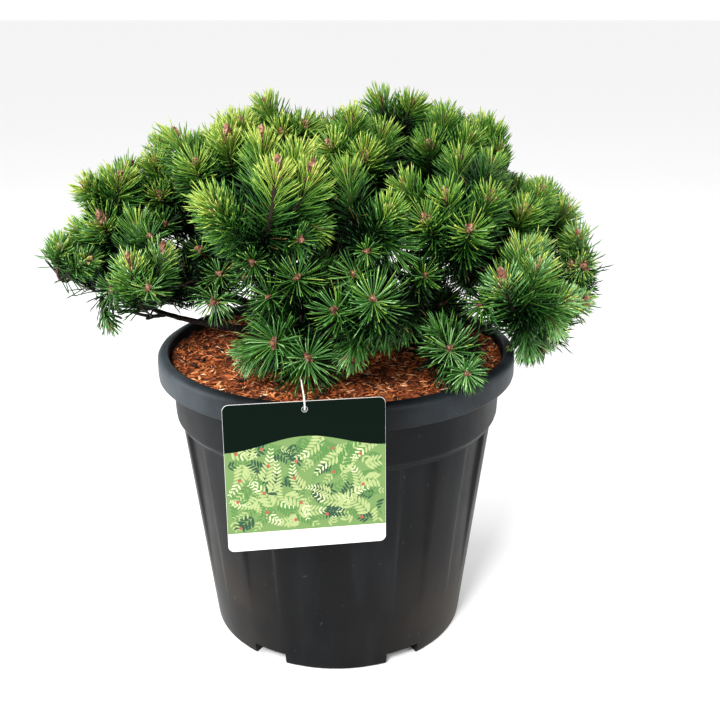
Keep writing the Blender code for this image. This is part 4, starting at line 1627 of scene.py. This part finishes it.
def makeCard():
    c = card
    rng = np.random.default_rng(c["seed"])
    half, foot, fillet = c["width"] / 2, -c["height"], c["corner"]
    proud = c["thickness"] / 2 + c["printProud"]
    depth = c["printProud"] + 0.0001
    around = np.linspace(0, math.tau, 20, endpoint=False)
    reach, drop = c["eyeletRadius"], c["eyeletDrop"]
    hole = [(reach * math.cos(a), reach * math.sin(a) - drop) for a in around]
    heap = Heap()
    sheet = roundedBox(-half, half, foot, 0.0, [fillet] * 4)
    addPlate(heap, [sheet, hole], c["thickness"] / 2, c["thickness"], 0)
    # The header ends in one long shallow wave
    left, width = -half + c["edge"], c["width"] - 2 * c["edge"]
    header = roundedBox(left, -left, -0.02, -c["edge"], [fillet, fillet, 0, 0])[:-2]
    for t in np.linspace(0.0, 1.0, 22):
        header.append((left + width * t, -c["headerHeight"] - c["headerWave"] * math.cos(math.tau * t)))
    addPlate(heap, [header, hole], proud + c["headerProud"], depth + 0.0003, 1)
    strip, panelTop = foot + c["stripHeight"], c["panelOverlap"] - c["headerHeight"]
    addPlate(heap, [roundedBox(left, -left, strip, panelTop, [0, 0, 0, 0])], proud, depth, 2)
    # Curved fronds with narrow leaflets, laid over each other, and a few berries
    low, high = strip + 0.002, panelTop - 0.010
    for index in range(c["fronds"]):
        x = -half + c["width"] * (index * 3 % 10 + rng.uniform(0.1, 0.9)) / 10
        z = low + (high - low) * (index * 5 % 7 + rng.uniform(0.0, 1.0)) / 7
        lean, curl = rng.uniform(0, math.tau), rng.uniform(-0.9, 0.9)
        length = rng.uniform(*c["frondLength"])
        layer = proud + 0.00002 + c["layerStep"] * index
        for k in range(c["leafletPairs"]):
            t = (k + 0.5) / c["leafletPairs"]
            bearing, along = lean + curl * t, length * (t - 0.5)
            px, pz = x + along * math.cos(bearing), z + along * math.sin(bearing)
            size = length * c["leafletShare"] * (1.0 - 0.75 * t)
            for turned in (bearing - c["leafletTurn"], bearing + c["leafletTurn"]):
                cx, cz = px + size * 0.5 * math.cos(turned), pz + size * 0.5 * math.sin(turned)
                if abs(cx) + size * 0.5 > half - 0.0008 or not low < cz < high + 0.012 or pz > high + 0.010:
                    continue
                if cz - size * 0.5 > strip + 0.0004:
                    leaf = leafOutline(cx, cz, size, size * c["leafletShare"], turned)
                    addPlate(heap, [leaf], layer, depth, c["frondTones"][index // 10][t > 0.55])
        if index % c["berryEvery"] == 0 and abs(x) < half - 0.006 and z > strip + 0.004:
            addPlate(heap, [leafOutline(x, z, c["berry"], c["berry"], 0.0)], proud + 0.0003, depth, 7)
    declare(heap.build("plant_card", cardMaterials(), smooth=False), ["card"])


makeCard()


# The tie: white cotton string of two plies, so it shows a slanted groove

tie = {
    "radius": 0.00072,
    "plyPitch": 0.0032,
    # From behind the eyelet, through it and up the card's face, in the card's own directions
    "onCard": (
        (0.0, 0.0014, -0.0090),
        (0.0, -0.0004, -0.0084),
        (0.0, -0.0016, -0.0060),
        (0.0, -0.0015, -0.0015),
    ),
    "toTwig": (
        (-0.0258, -0.2096, 0.3492),
        (-0.0268, -0.2020, 0.3516),
        (-0.0284, -0.1915, 0.3540),
        (-0.0300, -0.1800, 0.3570),
    ),
    "eyeletRing": (0.0028, 0.0005, 28),  # radius, thickness and points of the bead that lines the eyelet
    "tones": {"twistedCottonString": ("#e0ded6", 0.85), "eyeletRim": ("#8f938f", 0.45)},
}


def makeTie():
    centres = [cardPlace @ Vector(spot) for spot in tie["onCard"]] + [Vector(spot) for spot in tie["toTwig"]]
    centres = np.array(centres)
    line, radii = smoothLine(centres, np.full(len(centres), tie["radius"]), 0.0006)

    def grooves(run, angles):
        return 0.90 + 0.20 * np.abs(np.cos(angles - math.tau * run / tie["plyPitch"]))

    heap = Heap()
    tube(heap, line, radii, 12, relief=grooves)
    reach, thick, count = tie["eyeletRing"]
    angles = np.linspace(0, math.tau, count)
    spots = [Vector((reach * math.cos(a), -0.0006, reach * math.sin(a) - card["eyeletDrop"])) for a in angles]
    tube(heap, [cardPlace @ spot for spot in spots], np.full(count, thick), 8, tone=1)
    declare(heap.build("card_string", plainMaterials(tie["tones"])), ["card_tie"])


makeTie()


# Studio: pale floor, white surroundings and three soft lights

studio = {
    "floor": {"paintedFloor": ("#f4f4f4", 0.9)},
    "floorSize": 300.0,
    "worldStrength": 0.84,
    "aim": (0.0, 0.0, 0.35),
    # Watts, place and width of each light
    "lights": {
        "keyLight": (46.0, (-0.6, -1.8, 1.6), 0.6),
        "fillLight": (12.0, (1.5, -1.2, 1.0), 1.0),
        "sideLight": (26.0, (-1.9, -0.1, 0.9), 1.2),
    },
    "look": "Medium High Contrast",
}


def makeStudio():
    scene = bpy.context.scene
    bpy.ops.mesh.primitive_plane_add(size=studio["floorSize"], location=(0.0, 0.0, 0.0))
    floor = bpy.context.active_object
    floor.name = "floor"
    for paint in plainMaterials(studio["floor"]):
        floor.data.materials.append(paint)
    world = bpy.data.worlds.new("whiteStudio")
    world.use_nodes = True
    background = world.node_tree.nodes["Background"]
    background.inputs["Color"].default_value = (1.0, 1.0, 1.0, 1.0)
    background.inputs["Strength"].default_value = studio["worldStrength"]
    scene.world = world
    for name, (watts, place, size) in studio["lights"].items():
        data = bpy.data.lights.new(name, "AREA")
        data.energy = watts
        data.size = size
        light = addObject(name, data)
        light.location = place
        aim = Vector(studio["aim"]) - Vector(place)
        light.rotation_euler = aim.to_track_quat("-Z", "Y").to_euler()
    scene.view_settings.view_transform = "Standard"
    scene.view_settings.look = studio["look"]
    print("studio lit by", len(studio["lights"]), "lights")


makeStudio()
